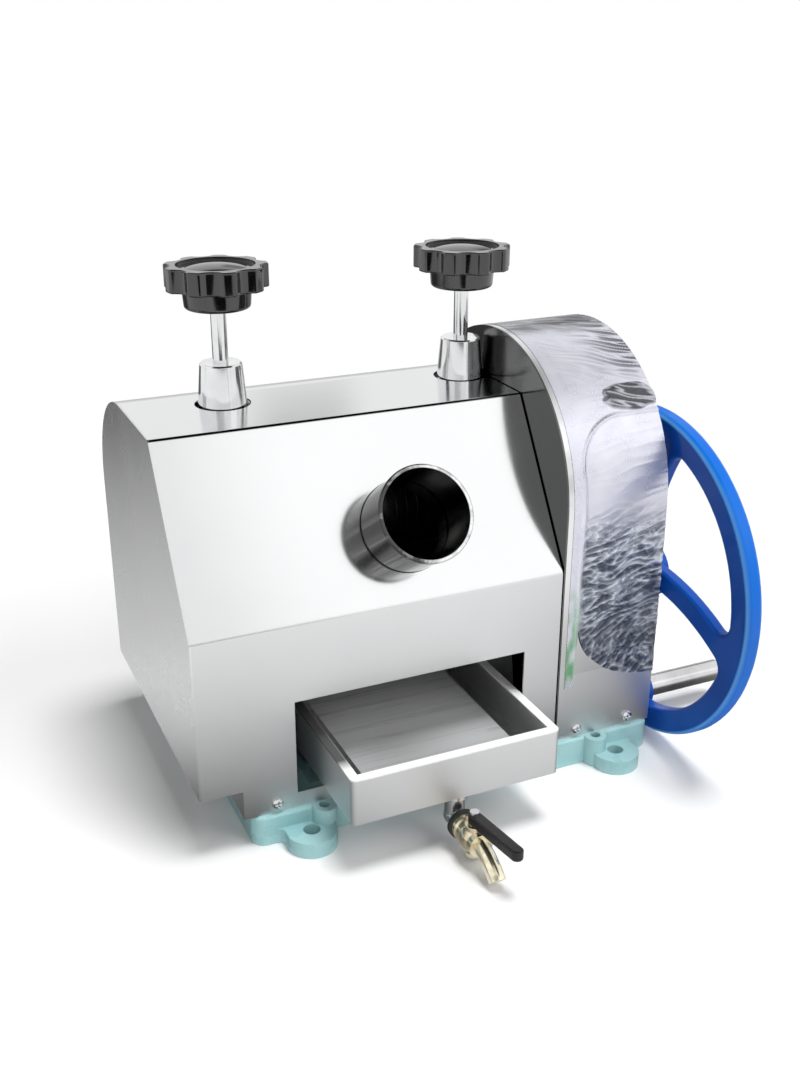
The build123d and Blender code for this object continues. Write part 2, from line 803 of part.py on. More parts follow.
with BuildPart() as hand_wheel:
    with BuildSketch(across_x(rim_start, wheel_y, wheel_z)):
        Circle(rim_middle_r)
        Circle(rim_inner_r, mode=Mode.SUBTRACT)
        Circle(hub_r)
        for spoke_line in spoke_lines:
            SlotArc(spoke_line, spoke_width)
    extrude(amount=spoke_thickness)
    for corner_r, corner_fillet in ((rim_inner_r, rim_fillet), (hub_r, hub_fillet)):
        corners = hand_wheel.edges().filter_by(Axis.X).filter_by(
            lambda edge: abs(hypot(edge.center().Y - wheel_y, edge.center().Z - wheel_z) - corner_r) < hair
        )
        fillet(corners, corner_fillet)
    fillet(hand_wheel.faces().filter_by(Axis.X).edges(), web_edge_r)
    with BuildSketch(Plane(origin=(rim_x, wheel_y, wheel_z), x_dir=(0, 1, 0), z_dir=(0, 0, 1))):
        with Locations((rim_middle_r, 0)):
            RectangleRounded(rim_depth, rim_width, rim_edge_r)
    revolve(axis=Axis((rim_x, wheel_y, wheel_z), (1, 0, 0)))
    with Locations((hub_start, wheel_y, wheel_z)):
        hub = Cylinder(hub_r, hub_length, rotation=(0, 90, 0), align=from_low, mode=Mode.PRIVATE)
    add(hub.fillet(hub_edge_r, hub.edges().filter_by(GeomType.CIRCLE)))
    half_boss = handle_boss_length / 2
    rod_x(rim_x - half_boss, rim_x + half_boss, handle_y, handle_z, handle_boss_r)
    rod_x(hub_start, hub_end, wheel_y, wheel_z, wheel_shaft_r + seat_gap, Mode.SUBTRACT)
    key_block(hub_start, hub_end, wheel_y, wheel_z, wheel_shaft_r + seat_gap, mode=Mode.SUBTRACT)
    rod_x(
        rim_x - half_boss, rim_x + half_boss, handle_y, handle_z, spindle_r + seat_gap, Mode.SUBTRACT
    )
keep("hand_wheel", hand_wheel)

with BuildPart() as handle_spindle:
    rod_x(rim_x - half_boss, handle_end + handle_gap, handle_y, handle_z, spindle_r)
    head_start = handle_end + handle_gap
    rod_x(head_start, head_start + spindle_head, handle_y, handle_z, spindle_head_r)
keep("handle_spindle", handle_spindle)

with BuildPart() as handle_grip:
    rod_x(handle_start, handle_end, handle_y, handle_z, handle_r)
    fillet(handle_grip.edges().filter_by(GeomType.CIRCLE), handle_edge_r)
    rod_x(handle_start, handle_end, handle_y, handle_z, spindle_r + running_gap, Mode.SUBTRACT)
keep("handle_grip", handle_grip)


def casing_outline(inset, bottom):
    """The casing's end shape, moved in by the inset, down to a height."""
    front = casing_front + inset
    back = casing_back - inset
    top = top_height - inset
    half_fold = tan(atan2(slope_run, slope_rise) / 2)
    half_top = tan(atan2(slope_rise, slope_run) / 2)
    fold = fold_height - inset * half_fold
    crest = casing_front + slope_run + inset * half_top
    radius = back_radius - inset
    centre_y = casing_back - back_radius
    centre_z = top_height - back_radius
    corner = radius * cos(radians(45))
    Line((back, bottom), (front, bottom))
    front_corners = ((front, bottom), (front, fold), (crest, top), (centre_y, top))
    FilletPolyline(*front_corners, radius=bend_radius - inset)
    ThreePointArc((centre_y, top), (centre_y + corner, centre_z + corner), (back, centre_z))
    Line((back, centre_z), (back, bottom))


# Casing: one bent sheet for front, slope, top and back, open below and at its right end
with BuildPart() as casing_shell:
    with BuildSketch(across_x(casing_left + sheet)) as casing_section:
        with BuildLine():
            casing_outline(0.0, base_height)
        make_face()
        with BuildLine():
            casing_outline(sheet, base_height)
        make_face(mode=Mode.SUBTRACT)
    extrude(amount=casing_length - sheet)
    for face_y in (casing_front, casing_back):
        block(
            (casing_left, face_y - 2 * sheet, base_height - sheet),
            (skirt_x, face_y + 2 * sheet, panel_bottom),
            Mode.SUBTRACT,
        )
    block(
        (opening_left, casing_front - sheet, opening_bottom),
        (opening_right, casing_front + 2 * sheet, opening_top),
        Mode.SUBTRACT,
    )
    block(
        (press_x - outlet_width / 2, casing_back - 2 * sheet, outlet_bottom),
        (press_x + outlet_width / 2, casing_back + sheet, outlet_bottom + outlet_height),
        Mode.SUBTRACT,
    )
    for side, frame_x in sides:
        rod_z(top_height - 2 * sheet, top_height + sheet, frame_x, press_y, sleeve_hole_r, Mode.SUBTRACT)
    inlet_plane = Plane(
        origin=(press_x, inlet_y, inlet_z), x_dir=(1, 0, 0), z_dir=(0, -slope_z, slope_y)
    )
    with BuildSketch(inlet_plane.offset(-2 * sheet)):
        Circle(inlet_outer_r + inlet_hole_gap)
    extrude(amount=4 * sheet, mode=Mode.SUBTRACT)
    for face_y in (casing_front, casing_back):
        hole_r = screw_r + screw_hole_gap
        rod_forward(
            face_y + 2 * sheet, face_y - 2 * sheet, casing_screw_x, screw_z, hole_r, Mode.SUBTRACT
        )
keep("casing_shell", casing_shell)

# Left end panel, bent in below to a skirt that stands on the base
with BuildPart() as left_end_panel:
    with BuildSketch(across_x(casing_left)):
        with BuildLine():
            casing_outline(0.0, panel_bottom)
        make_face()
    extrude(amount=sheet)
    inside_front = casing_front + sheet
    inside_back = casing_back - sheet
    block((casing_left, inside_front, panel_bottom), (skirt_x, inside_back, panel_bottom + sheet))
    block(
        (skirt_x, inside_front, base_height),
        (skirt_x + sheet, inside_back, panel_bottom + sheet),
    )
keep("left_end_panel", left_end_panel)

# Inlet tube with a rolled lip and a flange behind the slope
with BuildPart() as inlet_tube:
    with BuildSketch(inlet_plane.offset(-inlet_tail)):
        Circle(inlet_outer_r)
    extrude(amount=inlet_tail + inlet_reach)
    with BuildSketch(inlet_plane.offset(-sheet - seat_gap)):
        Circle(inlet_flange_r)
    extrude(amount=-2 * sheet)
    with BuildSketch(inlet_plane.offset(inlet_reach - 2 * inlet_lip_r)):
        Circle(inlet_outer_r + inlet_lip_r)
    extrude(amount=2 * inlet_lip_r)
    lip_edges = inlet_tube.edges().filter_by(GeomType.CIRCLE).group_by(SortBy.RADIUS)[-2]
    fillet(lip_edges, inlet_lip_r * lip_rounding)
    with BuildSketch(inlet_plane.offset(-inlet_tail)):
        Circle(inlet_outer_r - inlet_wall)
    extrude(amount=inlet_tail + inlet_reach, mode=Mode.SUBTRACT)
keep("inlet_tube", inlet_tube)

# Chute that carries the pressed cane out at the back
with BuildPart() as rear_chute:
    inner_y = casing_back - chute_overlap
    outer_y = casing_back + chute_reach
    low_z = outlet_bottom - chute_fall
    with BuildSketch(across_x(press_x - outlet_width / 2 + seat_gap)):
        with BuildLine():
            Polyline(
                (inner_y, outlet_bottom + sheet + seat_gap),
                (casing_back, outlet_bottom + sheet + seat_gap),
                (outer_y, low_z + sheet),
                (outer_y, low_z + chute_cheek),
                (casing_back, outlet_bottom + chute_cheek),
                (inner_y, outlet_bottom + chute_cheek),
                close=True,
            )
        make_face()
    extrude(amount=outlet_width - 2 * seat_gap)
    with BuildSketch(across_x(press_x - outlet_width / 2 + sheet)):
        with BuildLine():
            Polyline(
                (inner_y - sheet, outlet_bottom + 2 * sheet + seat_gap),
                (casing_back, outlet_bottom + 2 * sheet + seat_gap),
                (outer_y + sheet, low_z + 2 * sheet),
                (outer_y + sheet, low_z + 2 * chute_cheek),
                (inner_y - sheet, outlet_bottom + 2 * chute_cheek),
                close=True,
            )
        make_face()
    extrude(amount=outlet_width - 2 * sheet, mode=Mode.SUBTRACT)
keep("rear_chute", rear_chute)


def cover_outline(inset, bottom):
    """The gear cover's end shape, a half round on a straight skirt, moved in by the inset."""
    radius = cover_radius - inset
    front = cover_centre_y - radius
    back = cover_centre_y + radius
    Polyline((back, cover_centre_z), (back, bottom), (front, bottom), (front, cover_centre_z))
    ThreePointArc((front, cover_centre_z), (cover_centre_y, cover_centre_z + radius), (back, cover_centre_z))


# Gear cover: a half-round hood with a closed right side, and the plate behind the gears
with BuildPart() as gear_cover:
    with BuildSketch(across_x(gear_room_left)):
        with BuildLine():
            cover_outline(0.0, base_height)
        make_face()
    extrude(amount=cover_right - gear_room_left)
    right_rim = gear_cover.faces().sort_by(Axis.X)[-1].edges().filter_by(
        lambda edge: edge.center().Z > base_height + sheet
    )
    fillet(right_rim, cover_edge_r)
    with BuildSketch(across_x(gear_room_left)):
        with BuildLine():
            cover_outline(sheet, base_height)
        make_face()
    extrude(amount=cover_right - gear_room_left - sheet, mode=Mode.SUBTRACT)
    rod_x(
        cover_right - 2 * sheet, cover_right + sheet, wheel_y, wheel_z, wheel_shaft_r + shaft_hole_gap,
        Mode.SUBTRACT,
    )
    for screw_x in cover_screw_xs:
        for face_y in (casing_front, cover_back):
            hole_r = screw_r + screw_hole_gap
            rod_forward(face_y + 2 * sheet, face_y - 2 * sheet, screw_x, screw_z, hole_r, Mode.SUBTRACT)
keep("gear_cover", gear_cover)

with BuildPart() as gear_backplate:
    with BuildSketch(across_x(cover_left)):
        with BuildLine():
            cover_outline(0.0, base_height)
        make_face()
        for hole_y, hole_z in ((press_y, upper_z), (front_y, lower_z), (rear_y, lower_z)):
            with Locations((hole_y, hole_z)):
                Circle(journal_r + shaft_hole_gap, mode=Mode.SUBTRACT)
        with Locations((wheel_y, wheel_z)):
            Circle(wheel_shaft_r + shaft_hole_gap, mode=Mode.SUBTRACT)
    extrude(amount=sheet - seat_gap)
keep("gear_backplate", gear_backplate)

with BuildPart() as panel_screws:
    for screw_x, front, back in screw_places:
        pan_screw_forward(screw_x, front, screw_z)
        pan_screw_backward(screw_x, back, screw_z)
keep("panel_screws", panel_screws)

# Protective film that still clings to the cover's front and top
with BuildPart() as protective_film:
    film_inner = cover_radius + film_gap
    film_outer = film_inner + film_thickness
    turn = radians(film_back_angle)
    with BuildSketch(across_x(gear_room_left + film_inset_left, cover_centre_y, cover_centre_z)):
        with BuildLine():
            drop = film_bottom - cover_centre_z
            Line((-film_inner, 0), (-film_inner, drop))
            Line((-film_inner, drop), (-film_outer, drop))
            Line((-film_outer, drop), (-film_outer, 0))
            outer_end = (film_outer * cos(turn), film_outer * sin(turn))
            inner_end = (film_inner * cos(turn), film_inner * sin(turn))
            ThreePointArc((-film_outer, 0), (0, film_outer), outer_end)
            Line(outer_end, inner_end)
            ThreePointArc(inner_end, (0, film_inner), (-film_inner, 0))
        make_face()
    extrude(amount=cover_right - gear_room_left - film_inset_left - film_inset_right)
keep("protective_film", protective_film)

# Sleeves, screws, pads, buffers and lobed knobs, one set above each side frame
for side, frame_x in sides:
    with BuildPart() as sleeve:
        with BuildSketch(Plane(origin=(frame_x, press_y, 0), x_dir=(1, 0, 0), z_dir=(0, -1, 0))):
            with BuildLine():
                Polyline(
                    (stem_r + running_gap, frame_top),
                    (sleeve_spigot_r, frame_top),
                    (sleeve_spigot_r, bridge_top),
                    (sleeve_base_r, bridge_top),
                    (sleeve_base_r, top_height),
                    (sleeve_top_r, sleeve_top - sleeve_edge),
                    (sleeve_top_r - sleeve_edge, sleeve_top),
                    (stem_r + running_gap, sleeve_top),
                    close=True,
                )
            make_face()
        revolve(axis=Axis((frame_x, press_y, 0), (0, 0, 1)))
    keep(f"{side}_sleeve", sleeve)

    with BuildPart() as pad:
        rod_z(pad_bottom, pad_top, frame_x, press_y, pad_r)
        rod_z(pad_top - pad_socket, pad_top, frame_x, press_y, stem_r + running_gap, Mode.SUBTRACT)
    keep(f"{side}_pad", pad)

    with BuildPart() as pressure_buffer:
        rod_z(block_top, pad_bottom, frame_x, press_y, buffer_r)
        rod_z(block_top, pad_bottom, frame_x, press_y, buffer_bore_r, Mode.SUBTRACT)
    keep(f"{side}_buffer", pressure_buffer)

    with BuildPart() as pressure_screw:
        rod_z(pad_top - pad_socket + seat_gap, knob_bottom + knob_socket, frame_x, press_y, stem_r)
    keep(f"{side}_screw", pressure_screw)

    disc_bottom = knob_bottom + knob_hub
    disc_top = disc_bottom + knob_disc
    dish_floor = disc_top - knob_dish_depth
    with BuildPart() as knob:
        with BuildSketch(Plane.XY.offset(disc_bottom)) as lobes:
            with Locations((frame_x, press_y)):
                Circle(knob_r)
                scallop_centres = knob_r + knob_scallop_r - knob_scallop_depth
                with PolarLocations(scallop_centres, knob_lobes, knob_turn):
                    Circle(knob_scallop_r, mode=Mode.SUBTRACT)
            fillet(lobes.vertices(), knob_edge_r)
        extrude(amount=knob_disc)
        rim_faces = knob.faces().filter_by(Axis.Z)
        fillet(rim_faces.edges(), knob_rim_r)
        rod_z(dish_floor, disc_top, frame_x, press_y, knob_dish_r, Mode.SUBTRACT)
        dome_r = (knob_dome_r**2 + knob_dome_height**2) / (2 * knob_dome_height)
        with BuildSketch(Plane(origin=(frame_x, press_y, dish_floor), x_dir=(1, 0, 0), z_dir=(0, -1, 0))):
            with BuildLine():
                half = dome_r * sin(atan2(knob_dome_r, dome_r - knob_dome_height) / 2)
                lift = knob_dome_height - dome_r
                rise = dome_r * cos(atan2(knob_dome_r, dome_r - knob_dome_height) / 2) + lift
                ThreePointArc((knob_dome_r, 0), (half, rise), (0, knob_dome_height))
                root = -knob_dome_root
                Polyline((0, knob_dome_height), (0, root), (knob_dome_r, root), (knob_dome_r, 0))
            make_face()
        revolve(axis=Axis((frame_x, press_y, 0), (0, 0, 1)))
        with Locations((frame_x, press_y, knob_bottom)):
            Cone(knob_hub_r - knob_hub_taper, knob_hub_r, knob_hub, align=from_low)
        fillet(knob.faces().sort_by(Axis.Z)[0].edges(), knob_hub_edge_r)
        rod_z(knob_bottom, knob_bottom + knob_socket, frame_x, press_y, stem_r + seat_gap, Mode.SUBTRACT)
    keep(f"{side}_knob", knob)

# Tray with a turned-in rim, the drip plate on its floor and the rails that it slides on
with BuildPart() as tray:
    block((tray_left, tray_front, tray_bottom), (tray_right, tray_back, tray_bottom + tray_height))
    upright = tray.edges().filter_by(Axis.Z)
    fillet(upright, tray_corner_r)
    block(
        (tray_left + sheet, tray_front + sheet, tray_floor),
        (tray_right - sheet, tray_back - sheet, tray_bottom + tray_height - sheet),
        Mode.SUBTRACT,
    )
    block(
        (tray_left + tray_rim, tray_front + tray_rim, tray_floor),
        (tray_right - tray_rim, tray_back - tray_rim, tray_bottom + tray_height),
        Mode.SUBTRACT,
    )
    rod_z(tray_bottom, tray_floor, tap_x, nipple_y, nipple_r + seat_gap, Mode.SUBTRACT)
keep("tray", tray)

with BuildPart() as drip_plate:
    drip_left = tray_left + drip_margin
    drip_right = tray_right - drip_margin
    drip_front = nipple_y + locknut_r + drip_gap
    drip_back = tray_back - sheet - drip_inset
    block((drip_left, drip_front, tray_floor), (drip_right, drip_back, tray_floor + drip_height))
    block(
        (drip_left + sheet, drip_front, tray_floor),
        (drip_right - sheet, drip_back, tray_floor + drip_height - sheet),
        Mode.SUBTRACT,
    )
keep("drip_plate", drip_plate)

rail_front = casing_front + rail_setback
with BuildPart() as tray_rails:
    for rail_left in (tray_left, tray_right - rail_width):
        high = (rail_left + rail_width, tray_back, tray_bottom - rail_gap)
        block((rail_left, rail_front, base_height), high)
keep("tray_rails", tray_rails)

# Tap: a nipple through the tray's floor, an elbow, a gasket, the brass body, plug and lever
with BuildPart() as tap_nipple:
    nipple_top = tray_floor + locknut_thickness + nipple_tip
    rod_z(tap_z, nipple_top, tap_x, nipple_y, nipple_r)
    with Locations((tap_x, nipple_y, tap_z)):
        Sphere(nipple_r + elbow_swell)
    rod_forward(nipple_y, elbow_front, tap_x, tap_z, nipple_r)
    rod_z(tap_z, nipple_top, tap_x, nipple_y, nipple_bore_r, Mode.SUBTRACT)
    rod_forward(nipple_y, elbow_front, tap_x, tap_z, nipple_bore_r, Mode.SUBTRACT)
    rod_z(tray_bottom - nipple_collar, tray_bottom, tap_x, nipple_y, nipple_r + nipple_collar_wall)
    rod_z(tap_z, nipple_top, tap_x, nipple_y, nipple_bore_r, Mode.SUBTRACT)
keep("tap_nipple", tap_nipple)

with BuildPart() as tap_locknut:
    with BuildSketch(Plane.XY.offset(tray_floor)):
        with Locations((tap_x, nipple_y)):
            RegularPolygon(locknut_r, 6)
            Circle(nipple_r + seat_gap, mode=Mode.SUBTRACT)
    extrude(amount=locknut_thickness)
keep("tap_locknut", tap_locknut)

with BuildPart() as tap_gasket:
    rod_forward(elbow_front, gasket_front, tap_x, tap_z, gasket_r)
    rod_forward(elbow_front, gasket_front, tap_x, tap_z, nipple_bore_r, Mode.SUBTRACT)
keep("tap_gasket", tap_gasket)

with BuildPart() as tap_body:
    rod_forward(gasket_front, gasket_front - tap_flange, tap_x, tap_z, tap_flange_r)
    rod_forward(gasket_front, tap_body_front, tap_x, tap_z, tap_body_r)
    with Locations((tap_x, valve_y, tap_z)):
        Sphere(valve_r)
    rod_z(tap_z, plug_seat, tap_x, valve_y, plug_r + plug_collar_wall)
    spout_end = (tap_body_front + spout_r - spout_reach, tap_z - spout_drop)
    spout_start = (tap_body_front + spout_r, tap_z)
    with BuildLine(across_x(tap_x)) as spout_path:
        TangentArc(spout_start, spout_end, tangent=Vector(0, -1, 0))
    with BuildSketch(Plane(origin=spout_path.line @ 0, x_dir=(1, 0, 0), z_dir=spout_path.line % 0)):
        Circle(spout_r)
    sweep()
    with BuildLine(across_x(tap_x)) as bore_path:
        TangentArc(spout_start, spout_end, tangent=Vector(0, -1, 0))
    with BuildSketch(Plane(origin=bore_path.line @ 0, x_dir=(1, 0, 0), z_dir=bore_path.line % 0)):
        Circle(spout_bore_r)
    sweep(mode=Mode.SUBTRACT)
    rod_forward(gasket_front, spout_start[0], tap_x, tap_z, spout_bore_r, Mode.SUBTRACT)
    rod_z(tap_z - 2 * valve_r, plug_top, tap_x, valve_y, plug_r + running_gap, Mode.SUBTRACT)
keep("tap_body", tap_body)

with BuildPart() as tap_plug:
    plug_bottom = tap_z - valve_r - bolt_gap - plug_tail
    rod_z(plug_bottom, plug_top, tap_x, valve_y, plug_r)
    rod_z(plug_bottom, plug_bottom + plug_tail, tap_x, valve_y, plug_tail_r)
keep("tap_plug", tap_plug)

lever_bottom = plug_seat + bolt_gap
with BuildPart() as tap_lever:
    lever_plane = Plane(
        origin=(tap_x, valve_y, lever_bottom),
        x_dir=(sin(radians(lever_turn)), -cos(radians(lever_turn)), 0),
        z_dir=(0, 0, 1),
    )
    with BuildSketch(lever_plane):
        with Locations((lever_length / 2, 0)):
            SlotCenterToCenter(lever_length, lever_width)
    extrude(amount=lever_thickness)
    fillet(tap_lever.faces().filter_by(Axis.Z).edges(), lever_edge_r)
    rod_z(lever_bottom, plug_top, tap_x, valve_y, plug_r + seat_gap, Mode.SUBTRACT)
keep("tap_lever", tap_lever)

with BuildPart() as lever_screw_part:
    lever_top = lever_bottom + lever_thickness
    rod_z(lever_top, lever_top + lever_screw, tap_x, valve_y, lever_screw_r)
keep("lever_screw", lever_screw_part)
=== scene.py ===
"""Looks of a hand-cranked juice extractor: finishes, crinkled film, screws, studio and camera."""
import json
from math import cos, hypot, pi, radians, sin

import bmesh
import bpy
from mathutils import Matrix, Vector, noise


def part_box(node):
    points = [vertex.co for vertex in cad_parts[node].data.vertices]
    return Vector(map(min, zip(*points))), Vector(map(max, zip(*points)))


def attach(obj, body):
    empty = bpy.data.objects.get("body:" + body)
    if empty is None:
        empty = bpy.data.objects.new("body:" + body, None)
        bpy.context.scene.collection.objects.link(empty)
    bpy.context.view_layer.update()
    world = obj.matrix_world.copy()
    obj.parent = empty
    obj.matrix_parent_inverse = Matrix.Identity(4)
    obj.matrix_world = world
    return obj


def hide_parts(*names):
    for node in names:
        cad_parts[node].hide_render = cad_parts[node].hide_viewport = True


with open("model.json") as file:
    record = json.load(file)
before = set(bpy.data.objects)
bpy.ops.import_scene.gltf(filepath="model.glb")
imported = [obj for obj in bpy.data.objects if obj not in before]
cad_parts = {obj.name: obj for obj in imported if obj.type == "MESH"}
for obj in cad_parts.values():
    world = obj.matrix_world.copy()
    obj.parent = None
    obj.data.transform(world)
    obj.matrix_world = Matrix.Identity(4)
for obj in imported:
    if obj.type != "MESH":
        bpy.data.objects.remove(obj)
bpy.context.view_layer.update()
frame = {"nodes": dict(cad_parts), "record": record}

nodes = frame["nodes"]
scene = bpy.context.scene
MM = 0.001

# Camera, solved from the photograph: angles in degrees, its place in metres
camera_yaw = 24.426
camera_pitch = 22.585
camera_roll = 0.167
camera_place = Vector((-333.8, -738.9, 485.9)) * MM
focal_pixels = 1237.1
image_height = 1067
sensor_height = 36.0
nearest_seen = 0.02

# Protective film, in millimetres: across from its left edge, and along from its lower end up over the top
film_lift = 0.2
film_columns = 150
film_rows = 620
film_back_turn = radians(120)
film_strip = 6.5
crinkle_full = 98
crinkle_top = 138
crinkle_depth = 1.5
crumple_full = 26
crumple_top = 52
gentle_depth = 0.32
upper_from = 206
upper_depth = 0.45
apex_from = 262
ridge_low = 158
ridge_high = 191
ridge_corner = 42
ridge_run = 34
ridge_width = 2.6
ridge_depth = 0.9
bubble_middle = (55, 203)
bubble_size = (21, 10.5)
bubble_depth = 2.0
notch_left = 5.5
notch_right = 8.5
notch_rise = 46
green_full = 22
green_top = 92
green_most = 0.85

# Casing, in metres: its front, the edge between front and slope, the crest between slope and top, and the
# width of the painted dark reflection line along that crest
casing_low, casing_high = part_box("casing_shell")
front_y = casing_low.y
front_fold_z = 149.5 * MM
slope_run = 66.4 * MM
crest_y = front_y + slope_run
crest_z = casing_high.z
crest_shade_width = 1.3 * MM

# Satin finish of the front sheets: where the cover's ends, and how it gives way above and behind, in metres
cover_satin_z = 70 * MM
satin_edge = 2 * MM
satin_near = 2 * MM
satin_far = 12 * MM

# Tray rim, in metres: its depth, and where its left side takes painted shade in place of the painted
# highlight, counted from the tray's left and front
rim_depth = 0.9 * MM
rim_edge = 0.3 * MM
rim_left = (5 * MM, 9 * MM)
rim_behind = (13 * MM, 24 * MM)

# Feed tube: the way up the slope, the way out along the tube, and a dark seam round it, in metres
tube_side = Vector((0, slope_run, crest_z - front_fold_z)).normalized()
tube_axis = Vector((0, -tube_side.z, tube_side.y))
tube_seam = 173.06 * MM
tube_seam_half = 1.5 * MM

# Hand wheel, in metres: its axis, its rim's radius, the band of painted light on the rim's outer face and the
# painted highlight line at the rim's edge
wheel_low, wheel_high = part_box("hand_wheel")
wheel_axis = (wheel_low + wheel_high) / 2
wheel_r = (wheel_high.z - wheel_low.z) / 2
lit_band = (wheel_r - 2.2 * MM, wheel_r - 0.4 * MM)
highlight_r = wheel_r - 1.7 * MM
highlight_fade = (0.2 * MM, 1.5 * MM)

# Pan-head screws, in metres; the dome, arm and width are shares of the head's height and radius
screw_head = 2.4 * MM
screw_dome = 0.45
shank_r = 2 * MM
shank_length = 9 * MM
recess_arm = 0.62
recess_width = 0.13
recess_depth = 0.9 * MM
screw_rings = 16
screw_steps = 48

# Studio, in metres and in shares of full white
floor_reach = 2.2
floor_fade = (0.42, 1.0)
floor_tone = 0.86
floor_glow = 0.02
world_light = 0.10


def new_material(name):
    """A material with its node tree and its main shader."""
    made = bpy.data.materials.new(name)
    made.use_nodes = True
    tree = made.node_tree
    return made, tree, tree.nodes["Principled BSDF"]


def node(tree, kind, **settings):
    """A new node, with its options and unlinked inputs set by name."""
    made = tree.nodes.new(kind)
    for key, value in settings.items():
        if key in made.inputs:
            made.inputs[key].default_value = value
        else:
            setattr(made, key, value)
    return made


def put(tree, value, target):
    """Give an input its value, a constant or the output of another node."""
    if hasattr(value, "is_linked"):
        tree.links.new(value, target)
    else:
        target.default_value = value


def set_inputs(tree, made, values):
    """Give a node's inputs their values by name."""
    for name, value in values.items():
        put(tree, value, made.inputs[name])


def maths(tree, operation, *values):
    """A number worked out from others."""
    made = node(tree, "ShaderNodeMath", operation=operation)
    for value, target in zip(values, made.inputs):
        put(tree, value, target)
    return made.outputs[0]


def vector_maths(tree, operation, result, *values):
    """A result, named Vector or Value, worked out from vectors."""
    made = node(tree, "ShaderNodeVectorMath", operation=operation)
    for value, target in zip(values, made.inputs):
        put(tree, value, target)
    return made.outputs[result]


def object_point(tree):
    """Object coordinates."""
    return node(tree, "ShaderNodeTexCoord").outputs["Object"]


def object_place(tree, scale=(1, 1, 1)):
    """Object coordinates, stretched by a scale on each axis."""
    mapping = node(tree, "ShaderNodeMapping", Scale=scale)
    put(tree, object_point(tree), mapping.inputs["Vector"])
    return mapping.outputs["Vector"]


def along_axis(tree, axis):
    """One axis of the object coordinates, as a letter X, Y or Z."""
    parts = node(tree, "ShaderNodeSeparateXYZ")
    put(tree, object_point(tree), parts.inputs[0])
    return parts.outputs[axis]


def along_way(tree, way):
    """How far a point lies along a way."""
    return vector_maths(tree, "DOT_PRODUCT", "Value", object_point(tree), way)


def far_from(tree, point, weights):
    """The distance from a point, counted only along the axes with weight 1."""
    offset = vector_maths(tree, "SUBTRACT", "Vector", object_point(tree), point)
    flat = vector_maths(tree, "MULTIPLY", "Vector", offset, weights)
    return vector_maths(tree, "LENGTH", "Value", flat)


def cloud(tree, place, scale, detail=4.0, roughness=0.55, distortion=0.0):
    """A soft noise from 0 to 1."""
    made = node(tree, "ShaderNodeTexNoise", Scale=scale, Detail=detail, Roughness=roughness)
    set_inputs(tree, made, {"Vector": place, "Distortion": distortion})
    return made.outputs["Fac"]


def spread(tree, value, low, high, from_low=0.3, from_high=0.7):
    """A value moved from one range to another."""
    made = node(tree, "ShaderNodeMapRange")
    set_inputs(tree, made, {"From Min": from_low, "From Max": from_high, "To Min": low, "To Max": high})
    put(tree, value, made.inputs["Value"])
    return made.outputs["Result"]


def blend_colours(tree, factor, first, second):
    """A mix of two colours; each is a colour or a socket."""
    made = node(tree, "ShaderNodeMix", data_type="RGBA")
    put(tree, factor, made.inputs["Factor"])
    for target, colour in ((made.inputs[6], first), (made.inputs[7], second)):
        put(tree, (*colour, 1) if isinstance(colour, tuple) else colour, target)
    return made.outputs[2]


def raised(tree, height, strength, distance, normal=None):
    """A bump from a height, on top of another normal if one is given."""
    made = node(tree, "ShaderNodeBump", Strength=strength, Distance=distance)
    put(tree, height, made.inputs["Height"])
    if normal is not None:
        put(tree, normal, made.inputs["Normal"])
    return made.outputs["Normal"]


def rounded_edges(tree, radius):
    """A normal that rounds sharp edges by a small radius."""
    return node(tree, "ShaderNodeBevel", samples=6, Radius=radius).outputs["Normal"]


def painted_crest_shade(tree, colour):
    """A colour with a painted dark line along the casing's crest, standing in for the dark reflection in the
    bend.
    """
    off_crest = far_from(tree, (0, crest_y, crest_z), (0, 1, 1))
    crest_shade = spread(tree, off_crest, 1, 0, 0.6 * crest_shade_width, crest_shade_width)
    return blend_colours(tree, crest_shade, colour, (0.06, 0.06, 0.06))


def satin_front(tree, rough, more, top):
    """A roughness with more of it on the front, below a height."""
    below = spread(tree, along_axis(tree, "Z"), more, 0, top, top + satin_edge)
    front = spread(tree, along_axis(tree, "Y"), 1, 0, front_y + satin_near, front_y + satin_far)
    return maths(tree, "MULTIPLY_ADD", below, front, rough)


def painted_tray_rim(tree, colour):
    """A colour with a painted highlight on the tray's rim and painted shade on the rim's left behind the
    front corner; also how metallic it all is.
    """
    low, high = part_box("tray")
    top = high.z - rim_depth
    rim = spread(tree, along_axis(tree, "Z"), 0, 1, top - rim_edge, top)
    inside = spread(tree, along_axis(tree, "X"), 1, 0, *(low.x + reach for reach in rim_left))
    behind = spread(tree, along_axis(tree, "Y"), 0, 1, *(low.y + reach for reach in rim_behind))
    rim_shade = maths(tree, "MULTIPLY", inside, behind)
    painted_rim_light = blend_colours(tree, rim_shade, (0.93, 0.93, 0.93), (0.10, 0.10, 0.10))
    return blend_colours(tree, rim, colour, painted_rim_light), spread(tree, rim, 1, 0.1, 0, 1)


